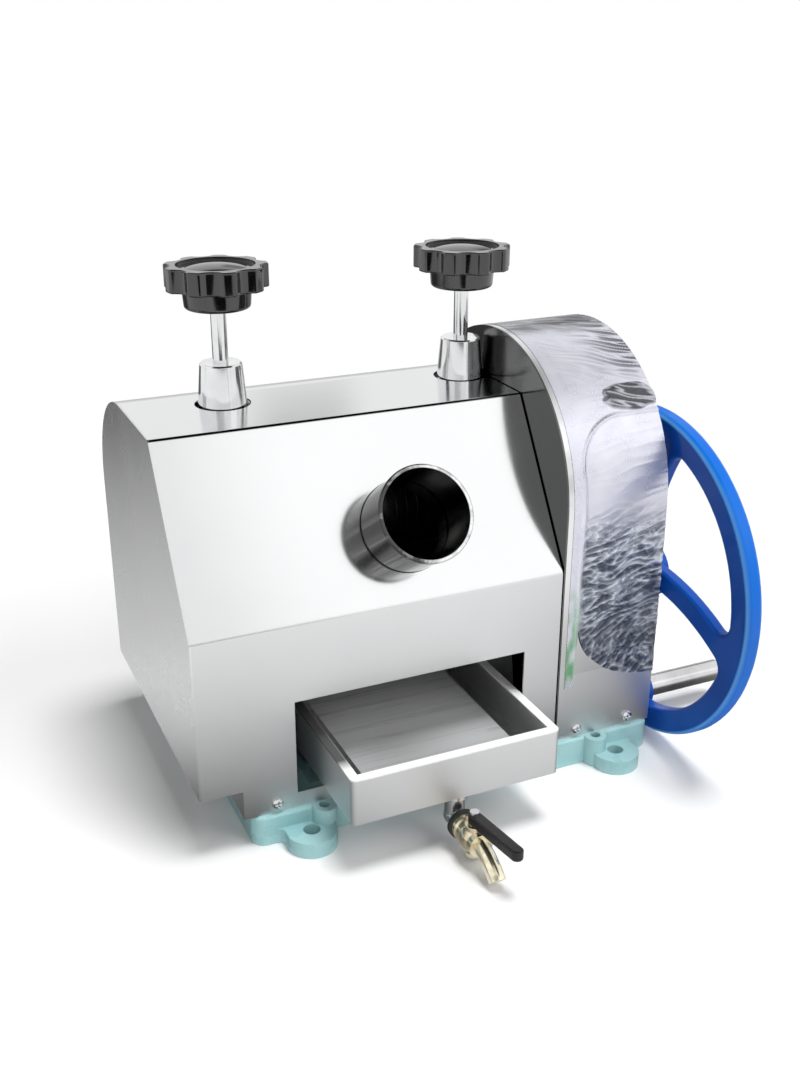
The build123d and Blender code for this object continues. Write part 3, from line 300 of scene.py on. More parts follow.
def sheet_metal(name, polish, satin=None, satin_top=0.0, tone=1.0, crest_shaded=False, rim_painted=False):
    """Stainless sheet with wipe marks; it may be satin low on the front, and have a painted dark reflection
    line along its crest or a painted highlight and painted shade on its rim.
    """
    made, tree, shader = new_material(name)
    place = object_place(tree)
    smudge = cloud(tree, place, 7.0, detail=5.0)
    fine = cloud(tree, object_place(tree, (6, 6, 900)), 1.0, detail=3.0)
    wave = cloud(tree, place, 3.5, detail=1.0)
    dull = tuple(tone * part for part in (0.74, 0.745, 0.75))
    clean = tuple(tone * part for part in (0.80, 0.805, 0.81))
    colour = blend_colours(tree, spread(tree, smudge, 0, 1), dull, clean)
    rough = spread(tree, smudge, polish - 0.03, polish + 0.05)
    metallic = 1.0
    # A painted dark reflection line along the crest.
    if crest_shaded:
        colour = painted_crest_shade(tree, colour)
    if satin is not None:
        rough = satin_front(tree, rough, satin - polish, satin_top)
    # A painted highlight on the tray's rim, and painted shade on its left side.
    if rim_painted:
        colour, metallic = painted_tray_rim(tree, colour)
    rolled = raised(tree, fine, 0.02, 0.2 * MM)
    set_inputs(tree, shader, {
        "Base Color": colour,
        "Metallic": metallic,
        "Roughness": rough,
        "Normal": raised(tree, wave, 0.03, 3 * MM, rolled),
    })
    return made


def drawn_tube():
    """Stainless tube with dark draw marks along its length and a dark seam, and painted shade that darkens
    its left side.
    """
    made, tree, shader = new_material("drawn_tube")
    flat = node(tree, "ShaderNodeCombineXYZ")
    set_inputs(tree, flat, {"X": along_axis(tree, "X"), "Y": along_way(tree, tube_side)})
    streak = cloud(tree, flat.outputs[0], 95.0, detail=5.0, roughness=0.6)
    low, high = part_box("inlet_tube")
    # Painted shade: the tube's left side is darkened, standing in for its dark reflection there.
    left = spread(tree, along_axis(tree, "X"), 1, 0, low.x, low.x + 0.62 * (high.x - low.x))
    marks_and_left_shade = maths(tree, "MULTIPLY_ADD", left, 0.55, streak)
    dark = spread(tree, marks_and_left_shade, 0, 1, 0.45, 0.85)
    colour = blend_colours(tree, dark, (0.78, 0.785, 0.79), (0.07, 0.07, 0.07))
    seam = maths(tree, "COMPARE", along_way(tree, tube_axis), tube_seam, tube_seam_half)
    set_inputs(tree, shader, {
        "Base Color": blend_colours(tree, seam, colour, (0.01, 0.01, 0.01)),
        "Metallic": 1.0,
        "Roughness": spread(tree, streak, 0.1, 0.22),
        "Normal": rounded_edges(tree, 0.5 * MM),
    })
    return made


def brushed_sheet():
    """Dull brushed sheet with wavy streaks along its width, painted lighter towards the rear to make up for
    the casing's shade there.
    """
    made, tree, shader = new_material("brushed_sheet")
    streak = cloud(tree, object_place(tree, (7, 150, 150)), 1.0, detail=6.0, roughness=0.7, distortion=0.7)
    broad = cloud(tree, object_place(tree, (4, 22, 22)), 1.0, detail=3.0)
    low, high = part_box("drip_plate")
    # Painted light: the plate grows lighter towards the rear, against the casing's shade.
    painted_back_light = spread(tree, along_axis(tree, "Y"), 0, 1, low.y, (low.y + high.y) / 2)
    light = blend_colours(tree, painted_back_light, (0.52, 0.525, 0.53), (0.82, 0.825, 0.83))
    light = blend_colours(tree, spread(tree, broad, 0, 0.3), light, (0.4, 0.405, 0.41))
    set_inputs(tree, shader, {
        "Base Color": blend_colours(tree, spread(tree, streak, 0, 0.7, 0.52, 0.7), light, (0.3, 0.3, 0.305)),
        "Metallic": 0.2,
        "Roughness": spread(tree, streak, 0.4, 0.55),
        "Normal": raised(tree, streak, 0.12, 0.3 * MM),
    })
    return made


def teal_casting():
    """Pale teal gloss paint, laid thick over a sand casting."""
    made, tree, shader = new_material("teal_casting")
    place = object_place(tree)
    tone = cloud(tree, place, 30.0, detail=5.0)
    sand = cloud(tree, place, 420.0, detail=3.0)
    lump = cloud(tree, place, 55.0, detail=2.0)
    speck = cloud(tree, place, 900.0, detail=2.0)
    paint = blend_colours(tree, spread(tree, tone, 0, 1), (0.31, 0.56, 0.58), (0.41, 0.65, 0.66))
    specks = spread(tree, speck, 0, 0.35, 0.62, 0.75)
    cast = raised(tree, sand, 0.12, 0.4 * MM, rounded_edges(tree, 1.2 * MM))
    set_inputs(tree, shader, {
        "Base Color": blend_colours(tree, specks, paint, (0.18, 0.36, 0.38)),
        "Roughness": spread(tree, tone, 0.24, 0.4),
        "Coat Weight": 0.35,
        "Coat Roughness": 0.12,
        "Normal": raised(tree, lump, 0.25, 1.2 * MM, cast),
    })
    return made


def grey_casting():
    """Grey primer over a rough casting."""
    made, tree, shader = new_material("grey_casting")
    place = object_place(tree)
    tone = cloud(tree, place, 40.0, detail=6.0)
    sand = cloud(tree, place, 600.0, detail=4.0)
    set_inputs(tree, shader, {
        "Base Color": blend_colours(tree, spread(tree, tone, 0, 1), (0.10, 0.105, 0.11), (0.17, 0.175, 0.18)),
        "Roughness": spread(tree, sand, 0.5, 0.75),
        "Normal": raised(tree, sand, 0.35, 0.5 * MM),
    })
    return made


def bare_metal(name, light, dark, rough_low, rough_high, turning):
    """Turned or milled metal with fine tool lines, which lie close along the axis with the large scale."""
    made, tree, shader = new_material(name)
    stain = cloud(tree, object_place(tree), 45.0, detail=5.0)
    lines = cloud(tree, object_place(tree, turning), 1.0, detail=2.0)
    set_inputs(tree, shader, {
        "Base Color": blend_colours(tree, spread(tree, stain, 0, 1), dark, light),
        "Metallic": 1.0,
        "Roughness": spread(tree, stain, rough_low, rough_high),
        "Normal": raised(tree, lines, 0.08, 0.1 * MM, rounded_edges(tree, 0.3 * MM)),
    })
    return made


def chrome():
    """Bright plate with a slight haze."""
    made, tree, shader = new_material("chrome")
    haze = cloud(tree, object_place(tree), 60.0, detail=4.0)
    set_inputs(tree, shader, {
        "Base Color": blend_colours(tree, spread(tree, haze, 0, 1), (0.72, 0.73, 0.74), (0.84, 0.845, 0.85)),
        "Metallic": 1.0,
        "Roughness": spread(tree, haze, 0.06, 0.13),
        "Normal": rounded_edges(tree, 0.4 * MM),
    })
    return made


def blue_paint():
    """Blue gloss enamel with orange peel, with painted light on the rim's outer face and a painted highlight
    line along the rim's edge.
    """
    made, tree, shader = new_material("blue_paint")
    place = object_place(tree)
    tone = cloud(tree, place, 22.0, detail=4.0)
    peel = cloud(tree, place, 330.0, detail=2.0)
    sag = cloud(tree, place, 40.0, detail=2.0)
    reach = far_from(tree, wheel_axis, (0, 1, 1))
    # Painted light: a brighter blue on the rim's outer face, where the front light falls.
    lit_outside = spread(tree, reach, 0, 1, *lit_band)
    # Painted highlight: a light blue line along the rim's edge.
    off_edge = maths(tree, "ABSOLUTE", maths(tree, "SUBTRACT", reach, highlight_r))
    painted_rim_light = spread(tree, off_edge, 0.85, 0, *highlight_fade)
    paint = blend_colours(tree, spread(tree, tone, 0, 1), (0.0, 0.052, 0.33), (0.0, 0.08, 0.45))
    paint = blend_colours(tree, lit_outside, paint, (0.0, 0.14, 0.62))
    skin = raised(tree, peel, 0.06, 0.3 * MM)
    set_inputs(tree, shader, {
        "Base Color": blend_colours(tree, painted_rim_light, paint, (0.10, 0.36, 0.78)),
        "Roughness": spread(tree, tone, 0.3, 0.42),
        "Specular IOR Level": 0.15,
        "Coat Weight": 0.3,
        "Coat Roughness": 0.06,
        "Normal": raised(tree, sag, 0.15, 1.0 * MM, skin),
    })
    return made


def black_plastic(name, tint, rough_low, rough_high, gloss):
    """Moulded black plastic with a fine grain and rubbed places; its gloss is an index of refraction."""
    made, tree, shader = new_material(name)
    place = object_place(tree)
    rub = cloud(tree, place, 70.0, detail=5.0)
    grain = cloud(tree, place, 1500.0, detail=2.0)
    rubbed = tuple(2.2 * part for part in tint)
    set_inputs(tree, shader, {
        "Base Color": blend_colours(tree, spread(tree, rub, 0, 1), tint, rubbed),
        "Roughness": spread(tree, rub, rough_low, rough_high),
        "IOR": gloss,
        "Normal": raised(tree, grain, 0.05, 0.1 * MM, rounded_edges(tree, 0.5 * MM)),
    })
    return made


def brass():
    """Polished brass, tarnished in patches."""
    made, tree, shader = new_material("brass")
    place = object_place(tree)
    tarnish = cloud(tree, place, 85.0, detail=6.0)
    pits = cloud(tree, place, 500.0, detail=3.0)
    patches = spread(tree, tarnish, 0, 1, 0.47, 0.75)
    set_inputs(tree, shader, {
        "Base Color": blend_colours(tree, patches, (0.97, 0.90, 0.70), (0.55, 0.43, 0.24)),
        "Metallic": 1.0,
        "Roughness": spread(tree, tarnish, 0.1, 0.26),
        "Normal": raised(tree, pits, 0.06, 0.2 * MM, rounded_edges(tree, 0.6 * MM)),
    })
    return made


def rubber(name, dark, light):
    """Matt moulded rubber with dust."""
    made, tree, shader = new_material(name)
    dust = cloud(tree, object_place(tree), 120.0, detail=5.0)
    set_inputs(tree, shader, {
        "Base Color": blend_colours(tree, spread(tree, dust, 0, 1), dark, light),
        "Roughness": spread(tree, dust, 0.45, 0.7),
        "Normal": raised(tree, dust, 0.1, 0.2 * MM),
    })
    return made


def clear_film():
    """Clear film over bright metal: pale lilac where flat, and in the folds blue-grey painted shade with
    painted highlights along each fold's crest.
    """
    made, tree, shader = new_material("clear_film")
    shares = {}
    for share in ("crinkle", "crest", "shade", "green_edge"):
        shares[share] = node(tree, "ShaderNodeAttribute", attribute_name=share).outputs["Fac"]
    haze = cloud(tree, object_place(tree), 45.0, detail=5.0)
    milky = blend_colours(tree, spread(tree, haze, 0, 1), (0.66, 0.67, 0.76), (0.80, 0.80, 0.87))
    # Painted shade in the fold valleys and painted highlights on each fold's crest.
    crest_highlights = spread(tree, shares["crest"], 0, 1, 0.25, 0.8)
    fold_shade_and_highlight = blend_colours(tree, crest_highlights, (0.11, 0.125, 0.16), (0.74, 0.78, 0.85))
    colour = blend_colours(tree, shares["crinkle"], milky, fold_shade_and_highlight)
    # Painted shade where the shade attribute says.
    colour = blend_colours(tree, shares["shade"], colour, (0.03, 0.03, 0.035))
    set_inputs(tree, shader, {
        "Base Color": blend_colours(tree, shares["green_edge"], colour, (0.13, 0.46, 0.18)),
        "Metallic": 0.75,
        "Roughness": spread(tree, haze, 0.24, 0.34),
        "Coat Weight": 0.2,
        "Coat Roughness": 0.05,
    })
    return made


finishes = {
    "polished_sheet": sheet_metal("polished_sheet", 0.14),
    "brushed_sheet": brushed_sheet(),
    "teal_casting": teal_casting(),
    "grey_casting": grey_casting(),
    "bare_steel": bare_metal("bare_steel", (0.78, 0.78, 0.79), (0.6, 0.6, 0.61), 0.14, 0.26, (1200, 30, 30)),
    "bronze": bare_metal("bronze", (0.55, 0.36, 0.16), (0.3, 0.18, 0.08), 0.25, 0.45, (1500, 40, 40)),
    "blue_paint": blue_paint(),
    "chrome": chrome(),
    "black_knob": black_plastic("black_knob", (0.003, 0.003, 0.0033), 0.05, 0.1, 1.8),
    "brass": brass(),
    "black_rubber": rubber("black_rubber", (0.012, 0.012, 0.012), (0.035, 0.035, 0.035)),
    "buffer_rubber": rubber("buffer_rubber", (0.42, 0.26, 0.05), (0.55, 0.36, 0.1)),
    "black_lever": black_plastic("black_lever", (0.005, 0.004, 0.004), 0.2, 0.32, 1.5),
    "clear_film": clear_film(),
}


def give_finish(piece, finish):
    """Put one finish on a piece."""
    piece.data.materials.clear()
    piece.data.materials.append(finish)


# Every CAD node takes the finish of its slot, and some then take one of their own
for part in frame["record"]["subparts"]:
    give_finish(nodes[part["node"]], finishes[part["material_slot"]])
give_finish(nodes["inlet_tube"], drawn_tube())
give_finish(nodes["casing_shell"], sheet_metal("casing_sheet", 0.14, 0.36, front_fold_z, crest_shaded=True))
give_finish(nodes["gear_cover"], sheet_metal("cover_sheet", 0.16, 0.38, cover_satin_z))
give_finish(nodes["left_end_panel"], sheet_metal("panel_sheet", 0.27))
# The gear backplate's sheet is toned dark as painted shade, for the shade it sits in.
give_finish(nodes["gear_backplate"], sheet_metal("shade_dark_sheet", 0.15, tone=0.2))
give_finish(nodes["tray"], sheet_metal("tray_sheet", 0.46, rim_painted=True))
give_finish(nodes["rear_chute"], sheet_metal("chute_sheet", 0.33))
satin_steel = bare_metal("satin_steel", (0.86, 0.86, 0.87), (0.72, 0.72, 0.73), 0.2, 0.3, (30, 1200, 30))
give_finish(nodes["tap_nipple"], satin_steel)
oiled_steel = bare_metal("oiled_steel", (0.16, 0.155, 0.15), (0.05, 0.05, 0.05), 0.25, 0.4, (1200, 30, 30))
for roller in ("upper_roller", "front_roller", "rear_roller"):
    give_finish(nodes[roller], oiled_steel)


def new_piece(name, mesh, body, slot):
    """A piece of the object that rides on a body and takes a finish."""
    piece = bpy.data.objects.new(name, mesh)
    scene.collection.objects.link(piece)
    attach(piece, body)
    give_finish(piece, finishes[slot])
    return piece


# Film: a sheet that follows the cover's front and round top, crumpled below and nearly flat above
film_low, film_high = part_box("protective_film")
cover_low, cover_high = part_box("gear_cover")
cover_radius = (cover_high.y - cover_low.y) / 2 / MM
cover_centre_y = (cover_high.y + cover_low.y) / 2 / MM
cover_centre_z = cover_high.z / MM - cover_radius
film_start_z = film_low.z / MM
film_straight = cover_centre_z - film_start_z
film_length = film_straight + cover_radius * film_back_turn
film_width = (film_high.x - film_low.x) / MM


def smooth_step(low, high, value):
    """From 0 below low to 1 above high, with soft ends."""
    share = min(1.0, max(0.0, (value - low) / (high - low)))
    return share * share * (3 - 2 * share)


def ripple(across, along, seed):
    """A smooth noise, from about -1 to 1."""
    return noise.noise(Vector((across, along, seed)))


def crest(across, along, seed):
    """A sharp fold wherever a noise passes through zero."""
    return (1 - abs(ripple(across, along, seed))) ** 4


def film_point(across, along, lift):
    """A point on the cover's outline, lifted off it."""
    x = film_low.x / MM + across
    reach = cover_radius + lift
    if along < film_straight:
        return Vector((x, cover_centre_y - reach, film_start_z + along)) * MM
    turn = (along - film_straight) / cover_radius
    return Vector((x, cover_centre_y - reach * cos(turn), cover_centre_z + reach * sin(turn))) * MM


def crinkle_share(across, along):
    """How crumpled the film is, from 0 to 1."""
    ragged = 7 * ripple(across / 16, along / 30, 0.3)
    lower = 1 - smooth_step(crinkle_full, crinkle_top, along + ragged)
    return lower * smooth_step(film_strip, film_strip + 4, across + 0.2 * ragged)


def bubble_share(across, along):
    """How far a point lies inside the blister near the top right, from 0 to 1."""
    x = (across - bubble_middle[0]) / bubble_size[0]
    y = (along - bubble_middle[1]) / bubble_size[1]
    ragged = 0.25 * ripple(x * 2.5, y * 2.5, 0.5)
    return 1 - smooth_step(0.7, 1.1, hypot(x, y) ** 2 + ragged)


def fold_height(across, along):
    """Folds of the crumpled part: slanted lines above, and facets that cross each other below."""
    warp = 3.5 * ripple(across / 20, along / 20, 0.9)
    slanted = (along - 0.24 * across + warp) / 4.6
    lines = (
        0.55 * crest(across / 18, slanted, 2.0)
        + 0.25 * crest(across / 10, (along + 0.3 * across + warp) / 5.6, 5.0)
        + 0.2 * crest(across / 7, slanted * 2.1, 7.0)
    )
    facets = (
        0.4 * crest((across + warp) / 11, (along - 0.3 * across) / 8, 21.0)
        + 0.35 * crest((across - 0.8 * along) / 11, (along + 0.6 * across + warp) / 9, 23.0)
        + 0.25 * crest((across + 0.7 * along) / 6.5, (along - 0.7 * across) / 6, 25.0)
    )
    lower = 1 - smooth_step(crumple_full, crumple_top, along)
    return lines * (1 - lower) + facets * lower


def painted_crest_light(across, along):
    """How much painted highlight each fold's crest gets, a little less towards the lower end."""
    return fold_height(across, along) * (0.7 + 0.3 * smooth_step(15, 110, along))


def streak_height(across, along):
    """Slanted wrinkles over the round top."""
    warp = 3 * ripple(across / 24, along / 24, 0.9)
    return crest(across / 24, (along + 0.35 * across + warp) / 3.8, 17.0)


def gentle_height(across, along):
    """Faint wrinkles of the nearly flat part."""
    warp = 3 * ripple(across / 24, along / 24, 0.9)
    return crest(across / 40, (along - 0.1 * across + warp) / 6.5, 11.0)


def ridge_height(across, along):
    """A raised line that climbs the film's left and turns right under the blister."""
    if along < ridge_low:
        off = abs(across - ridge_corner + ridge_run)
    elif across > ridge_corner:
        off = abs(along - ridge_high)
    else:
        rise = ridge_high - ridge_low
        off = abs(hypot((ridge_corner - across) / ridge_run, (along - ridge_low) / rise) - 1) * rise
    return max(0.0, 1 - off / ridge_width) ** 2


def shade_share(across, along):
    """How much painted shade the film gets: in the blister, in wrinkles at the right, and over the apex."""
    gap = 1 - streak_height(across, along)
    ragged = 6 * ripple(across / 12, along / 12, 0.4)
    right = smooth_step(0.35, 0.95, across / film_width)
    upper = smooth_step(upper_from + 4, upper_from + 24, along)
    apex = smooth_step(apex_from, apex_from + 26, along + ragged)
    blister = bubble_share(across, along) * (0.35 + 0.6 * smooth_step(0.2, 0.6, gap))
    streaks = upper * right * smooth_step(0.35, 0.75, gap)
    over = apex * (0.45 + 0.4 * smooth_step(0.3, 0.7, gap))
    return min(0.92, max(blister, 0.8 * streaks, over))


def green_share(across, along):
    """How green the left edge looks: in patches that fade out upwards."""
    ragged = 16 * ripple(across / 6, along / 12, 0.6)
    strip = 1 - smooth_step(film_strip - 1, film_strip + 4, across)
    fade = 1 - smooth_step(green_full, green_top, along + ragged)
    patchy = smooth_step(-0.5, 0.3, ripple(across / 4, along / 11, 0.8))
    return green_most * strip * fade * patchy


def film_lift_at(across, along):
    """How far the film stands off the cover."""
    crumple = crinkle_share(across, along)
    inward = smooth_step(film_strip, film_strip + 5, across)
    right = 0.12 + 0.88 * (across / film_width) ** 1.5
    upper = smooth_step(upper_from, upper_from + 25, along)
    streaks = streak_height(across, along)
    return (
        film_lift
        + crinkle_depth * crumple * fold_height(across, along)
        + gentle_depth * (1 - crumple) * (1 - upper) * inward * right * gentle_height(across, along)
        + upper_depth * upper * inward * right * streaks
        + ridge_depth * (1 - crumple) * ridge_height(across, along)
        + bubble_depth * bubble_share(across, along) * (0.6 + 0.4 * streaks)
    )


def film_lower_end(across):
    """Where the film's lower edge lies: a strip on the left, a notch, and a round lobe on the right."""
    ragged = 0.9 * (1 + ripple(across / 4, 0.7, 0.2))
    lobe = max(0.0, 1 - ((film_width - across) / (film_width - notch_right)) ** 2) ** 0.5
    return ragged + smooth_step(notch_left, notch_right, across) * notch_rise * (1 - lobe)


def make_film():
    """The crinkled film as a grid, with its shares as attributes for the finish."""
    share_at = {
        "crinkle": crinkle_share,
        "crest": painted_crest_light,
        "shade": shade_share,
        "green_edge": green_share,
    }
    shares = {name: [] for name in share_at}
    points = []
    faces = []
    columns = film_columns + 1
    for row in range(film_rows + 1):
        for column in range(columns):
            across = film_width * column / film_columns
            start = film_lower_end(across)
            along = start + (film_length - start) * row / film_rows
            points.append(film_point(across, along, film_lift_at(across, along)))
            for name, share in share_at.items():
                shares[name].append(share(across, along))
    for row in range(film_rows):
        for column in range(film_columns):
            corner = row * columns + column
            faces.append((corner, corner + 1, corner + columns + 1, corner + columns))
    mesh = bpy.data.meshes.new("film_sheet")
    mesh.from_pydata(points, [], faces)
    for name, values in shares.items():
        mesh.attributes.new(name, "FLOAT", "POINT").data.foreach_set("value", values)
    mesh.shade_smooth()
    return mesh


film = new_piece("film_sheet", make_film(), "frame", "clear_film")
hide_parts("protective_film")


# Screws: pan heads with a cross recess, where the CAD screws stand
def crown_level(share, x, y):
    """The head's height at a share of its radius, in a direction given by x and y."""
    level = screw_head * (1 - screw_dome * share ** 2.4)
    in_cross = min(abs(share * x), abs(share * y)) < recess_width
    return level - recess_depth if in_cross and share < recess_arm else level


def screw_rows(radius):
    """Rings of points from the middle of a screw's head out, and then down its shank."""
    turns = [2 * pi * step / screw_steps for step in range(screw_steps)]
    circle = [(cos(turn), sin(turn)) for turn in turns]
    rows = []
    for ring in range(screw_rings + 1):
        share = ring / screw_rings
        reach = radius * share
        rows.append([Vector((reach * x, reach * y, crown_level(share, x, y))) for x, y in circle])
    for reach, level in ((radius, 0.0), (shank_r, 0.0), (shank_r, -shank_length)):
        rows.append([Vector((reach * x, reach * y, level)) for x, y in circle])
    return rows


def screw_mesh(name, places, radius):
    """Screws in one mesh; each place is a point and a way that the head faces."""
    shape = bmesh.new()
    for point, facing in places:
        turn = Vector((0, 0, 1)).rotation_difference(facing).to_matrix()
        rows = [[shape.verts.new(point + turn @ spot) for spot in row] for row in screw_rows(radius)]
        for inner, outer in zip(rows, rows[1:]):
            for step in range(screw_steps):
                following = (step + 1) % screw_steps
                shape.faces.new((inner[step], outer[step], outer[following], inner[following]))
        shape.faces.new(reversed(rows[-1]))
    bmesh.ops.remove_doubles(shape, verts=shape.verts, dist=0.002 * MM)
    bmesh.ops.recalc_face_normals(shape, faces=shape.faces)
    mesh = bpy.data.meshes.new(name)
    shape.to_mesh(mesh)
    shape.free()
    mesh.shade_smooth()
    return mesh


def loose_boxes(piece):
    """The box of each separate solid in a CAD node's mesh."""
    shape = bmesh.new()
    shape.from_mesh(piece.data)
    bmesh.ops.remove_doubles(shape, verts=shape.verts, dist=0.01 * MM)
    left = set(shape.verts)
    boxes = []
    while left:
        reached = [left.pop()]
        solid = list(reached)
        while reached:
            for edge in reached.pop().link_edges:
                for other in edge.verts:
                    if other in left:
                        left.remove(other)
                        reached.append(other)
                        solid.append(other)
        low = Vector([min(vert.co[axis] for vert in solid) for axis in range(3)])
        high = Vector([max(vert.co[axis] for vert in solid) for axis in range(3)])
        boxes.append((low, high))
    shape.free()
    return sorted(boxes, key=lambda corners: tuple(corners[0]))


screw_boxes = loose_boxes(nodes["panel_screws"])
screw_r = (screw_boxes[0][1].x - screw_boxes[0][0].x) / 2
screw_places = []
for low, high in screw_boxes:
    middle = (low + high) / 2
    if middle.y < 0:
        screw_places.append((Vector((middle.x, low.y + screw_head, middle.z)), Vector((0, -1, 0))))
    else:
        screw_places.append((Vector((middle.x, high.y - screw_head, middle.z)), Vector((0, 1, 0))))
screws = new_piece("pan_screws", screw_mesh("pan_screws", screw_places, screw_r), "frame", "bare_steel")
give_finish(screws, finishes["chrome"])
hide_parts("panel_screws")


# Studio: a pale floor that fades out, three soft suns, and cards that only reflections see
def seen_directly(tree):
    """1 for camera, glossy and transmission rays, and 0 for the rest."""
    path = node(tree, "ShaderNodeLightPath")
    seen = maths(tree, "MAXIMUM", path.outputs["Is Camera Ray"], path.outputs["Is Glossy Ray"])
    return maths(tree, "MAXIMUM", seen, path.outputs["Is Transmission Ray"])


def stage_piece(name, mesh):
    """An object of the studio, with its cleared material tree and that tree's output."""
    piece = bpy.data.objects.new(name, mesh)
    scene.collection.objects.link(piece)
    made = bpy.data.materials.new(name)
    made.use_nodes = True
    made.node_tree.nodes.clear()
    mesh.materials.append(made)
    return piece, made.node_tree, node(made.node_tree, "ShaderNodeOutputMaterial")


def fade_out(tree, share, first, second, output):
    """Show the first shader where a share is 0 and the second where it is 1."""
    fade = node(tree, "ShaderNodeMixShader")
    for value, target in zip((share, first.outputs[0], second.outputs[0]), fade.inputs):
        put(tree, value, target)
    put(tree, fade.outputs[0], output.inputs["Surface"])


def make_floor():
    """A round pale floor that turns clear towards its rim, so that the white world shows there."""
    shape = bmesh.new()
    bmesh.ops.create_circle(shape, cap_ends=True, radius=floor_reach, segments=96)
    mesh = bpy.data.meshes.new("floor")
    shape.to_mesh(mesh)
    shape.free()
    tree, output = stage_piece("floor", mesh)[1:]
    matt = node(tree, "ShaderNodeBsdfDiffuse", Color=(floor_tone, floor_tone, floor_tone, 1))
    glow = node(tree, "ShaderNodeEmission")
    both = node(tree, "ShaderNodeAddShader")
    put(tree, spread(tree, seen_directly(tree), 0, floor_glow, 0, 1), glow.inputs["Strength"])
    put(tree, matt.outputs[0], both.inputs[0])
    put(tree, glow.outputs[0], both.inputs[1])
    distance = vector_maths(tree, "LENGTH", "Value", object_point(tree))
    clear = node(tree, "ShaderNodeBsdfTransparent")
    fade_out(tree, spread(tree, distance, 0, 1, *floor_fade), both, clear, output)


def make_world():
    """White where it is seen, softer where it lights."""
    world = bpy.data.worlds.new("studio")
    scene.world = world
    world.use_nodes = True
    tree = world.node_tree
    set_inputs(tree, tree.nodes["Background"], {
        "Color": (1, 1, 1, 1),
        "Strength": spread(tree, seen_directly(tree), world_light, 1.0, 0, 1),
    })


def make_sun(name, towards, softness, level):
    """A soft sun that lights a flat white floor to a level, and that metal doesn't mirror."""
    data = bpy.data.lights.new(name, "SUN")
    direction = Vector(towards).normalized()
    data.angle = radians(softness)
    data.energy = level * pi / direction.z
    lamp = bpy.data.objects.new(name, data)
    lamp.rotation_mode = "QUATERNION"
    lamp.rotation_quaternion = direction.to_track_quat("Z", "Y")
    lamp.visible_glossy = False
    scene.collection.objects.link(lamp)


def edge_mask(tree, share, soft):
    """0 at both ends of a share from 0 to 1, rising softly to 1 inside."""
    off_middle = maths(tree, "ABSOLUTE", maths(tree, "SUBTRACT", share, 0.5))
    rise = node(tree, "ShaderNodeMapRange", interpolation_type="SMOOTHSTEP")
    set_inputs(tree, rise, {"Value": off_middle, "From Min": 0.5, "From Max": 0.5 - soft})
    return rise.outputs["Result"]


def make_card(name, corner, along, up, levels, span=(0, 1), soft=0.18):
    """A soft-edged card that only reflections see; its level changes over a span of its height."""
    shape = bmesh.new()
    start = Vector(corner)
    corners = (start, start + along, start + along + up, start + up)
    face = shape.faces.new([shape.verts.new(point) for point in corners])
    places = shape.loops.layers.uv.new("card")
    for loop, place in zip(face.loops, ((0, 0), (1, 0), (1, 1), (0, 1))):
        loop[places].uv = place
    mesh = bpy.data.meshes.new(name)
    shape.to_mesh(mesh)
    shape.free()
    card, tree, output = stage_piece(name, mesh)
    for sense in ("camera", "diffuse", "transmission", "volume_scatter", "shadow"):
        setattr(card, f"visible_{sense}", False)
    shares = node(tree, "ShaderNodeSeparateXYZ")
    put(tree, node(tree, "ShaderNodeUVMap", uv_map="card").outputs["UV"], shares.inputs[0])
    sideways = edge_mask(tree, shares.outputs["X"], soft)
    upwards = edge_mask(tree, shares.outputs["Y"], soft)
    glow = node(tree, "ShaderNodeEmission")
    put(tree, spread(tree, shares.outputs["Y"], *levels, *span), glow.inputs["Strength"])
    clear = node(tree, "ShaderNodeBsdfTransparent")
    fade_out(tree, maths(tree, "MULTIPLY", sideways, upwards), clear, glow, output)


def make_camera():
    """The camera that took the photograph."""
    data = bpy.data.cameras.new("camera")
    data.sensor_fit = "VERTICAL"
    data.sensor_height = sensor_height
    data.lens = focal_pixels / image_height * sensor_height
    data.clip_start = nearest_seen
    camera = bpy.data.objects.new("camera", data)
    scene.collection.objects.link(camera)
    yaw = radians(camera_yaw)
    pitch = radians(camera_pitch)
    roll = radians(camera_roll)
    forward = Vector((sin(yaw) * cos(pitch), cos(yaw) * cos(pitch), -sin(pitch)))
    level_right = Vector((cos(yaw), -sin(yaw), 0))
    level_up = level_right.cross(forward)
    right = level_right * cos(roll) + level_up * sin(roll)
    up = level_up * cos(roll) - level_right * sin(roll)
    facing = Matrix((right, up, -forward)).transposed()
    camera.matrix_world = Matrix.Translation(camera_place) @ facing.to_4x4()
    scene.camera = camera


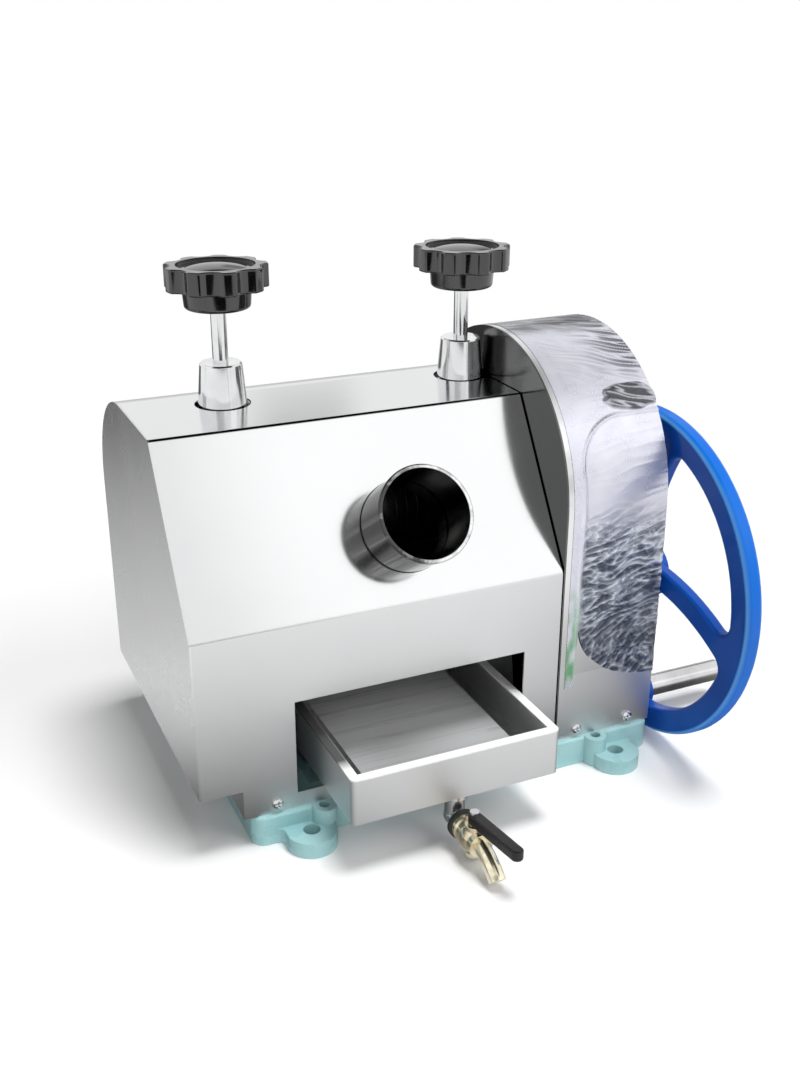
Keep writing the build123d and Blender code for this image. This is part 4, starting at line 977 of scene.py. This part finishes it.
scene.view_settings.view_transform = "Standard"
axis_x = Vector((1, 0, 0))
axis_y = Vector((0, 1, 0))
axis_z = Vector((0, 0, 1))
make_floor()
make_world()
make_sun("overhead_sun", (0.15, -0.06, 1.0), 22, 0.74)
make_sun("front_sun", (0.65, -0.75, 0.8), 40, 0.27)
make_sun("low_sun", (-0.35, -0.85, 0.38), 50, 0.11)
make_card("left_floor_card", (-1.0, -0.13, 0.004), 0.98 * axis_x, 2.13 * axis_y, (0.80, 0.12), (0.06, 0.465))
make_card("front_floor_card", (-0.85, -0.85, 0.003), 1.5 * axis_x, 0.95 * axis_y, (1.1, 0.08), (0.5, 0.76))
make_card("tray_card", (-0.09, -0.36, 0.0045), 0.26 * axis_x, 0.2 * axis_y, (1.0, 0.65), soft=0.2)
make_card("back_floor_card", (-0.7, 0.14, 0.002), 1.9 * axis_x, 1.5 * axis_y, (0.35, 0.5), soft=0.1)
make_card("right_floor_card", (0.2, -0.4, 0.005), 0.9 * axis_x, 0.9 * axis_y, (0.6, 0.6))
make_card("overhead_card", (-1.1, -1.1, 1.9), 2.25 * axis_x, 3.9 * axis_y, (0.04, 0.08), soft=0.12)
make_card("front_left_card", (-2.0, -1.5, 0.9), 1.7 * axis_x, 1.3 * axis_z, (0.6, 0.6))
make_card("front_right_card", (0.2, -1.5, 0.8), 1.9 * axis_x, 1.3 * axis_z, (1.3, 1.3))
make_card("knob_dark_card", (-0.85, -0.385, 0.247), 0.87 * axis_x, 0.04 * axis_z, (0, 0), soft=0.04)
make_card("knob_hub_card", (-0.40, -0.385, 0.16), 0.38 * axis_x, 0.038 * axis_z, (0, 0), soft=0.06)
make_card("left_sleeve_card", (0.21, -1.25, 0.105), 0.07 * axis_x, 0.3 * axis_z, (0.55, 0.55), soft=0.1)
make_card("right_sleeve_card", (0.68, -1.25, 0.105), 0.07 * axis_x, 0.3 * axis_z, (0.4, 0.4), soft=0.1)
make_card("left_side_card", (-1.6, 0.2, 0.05), 1.0 * axis_y, 0.55 * axis_z, (0.3, 0.3))
make_card("back_low_card", (-1.2, 1.7, 0), 3.2 * axis_x, 0.5 * axis_z, (0.45, 0.8))
make_card("back_patch_card", (0.32, 1.5, 0.66), 0.3 * axis_x, 0.45 * axis_z, (0.5, 0.5), soft=0.32)
make_card("back_right_card", (0.7, 1.2, 0.3), 1.2 * axis_x, 0.8 * axis_z, (0.3, 0.3))
make_camera()
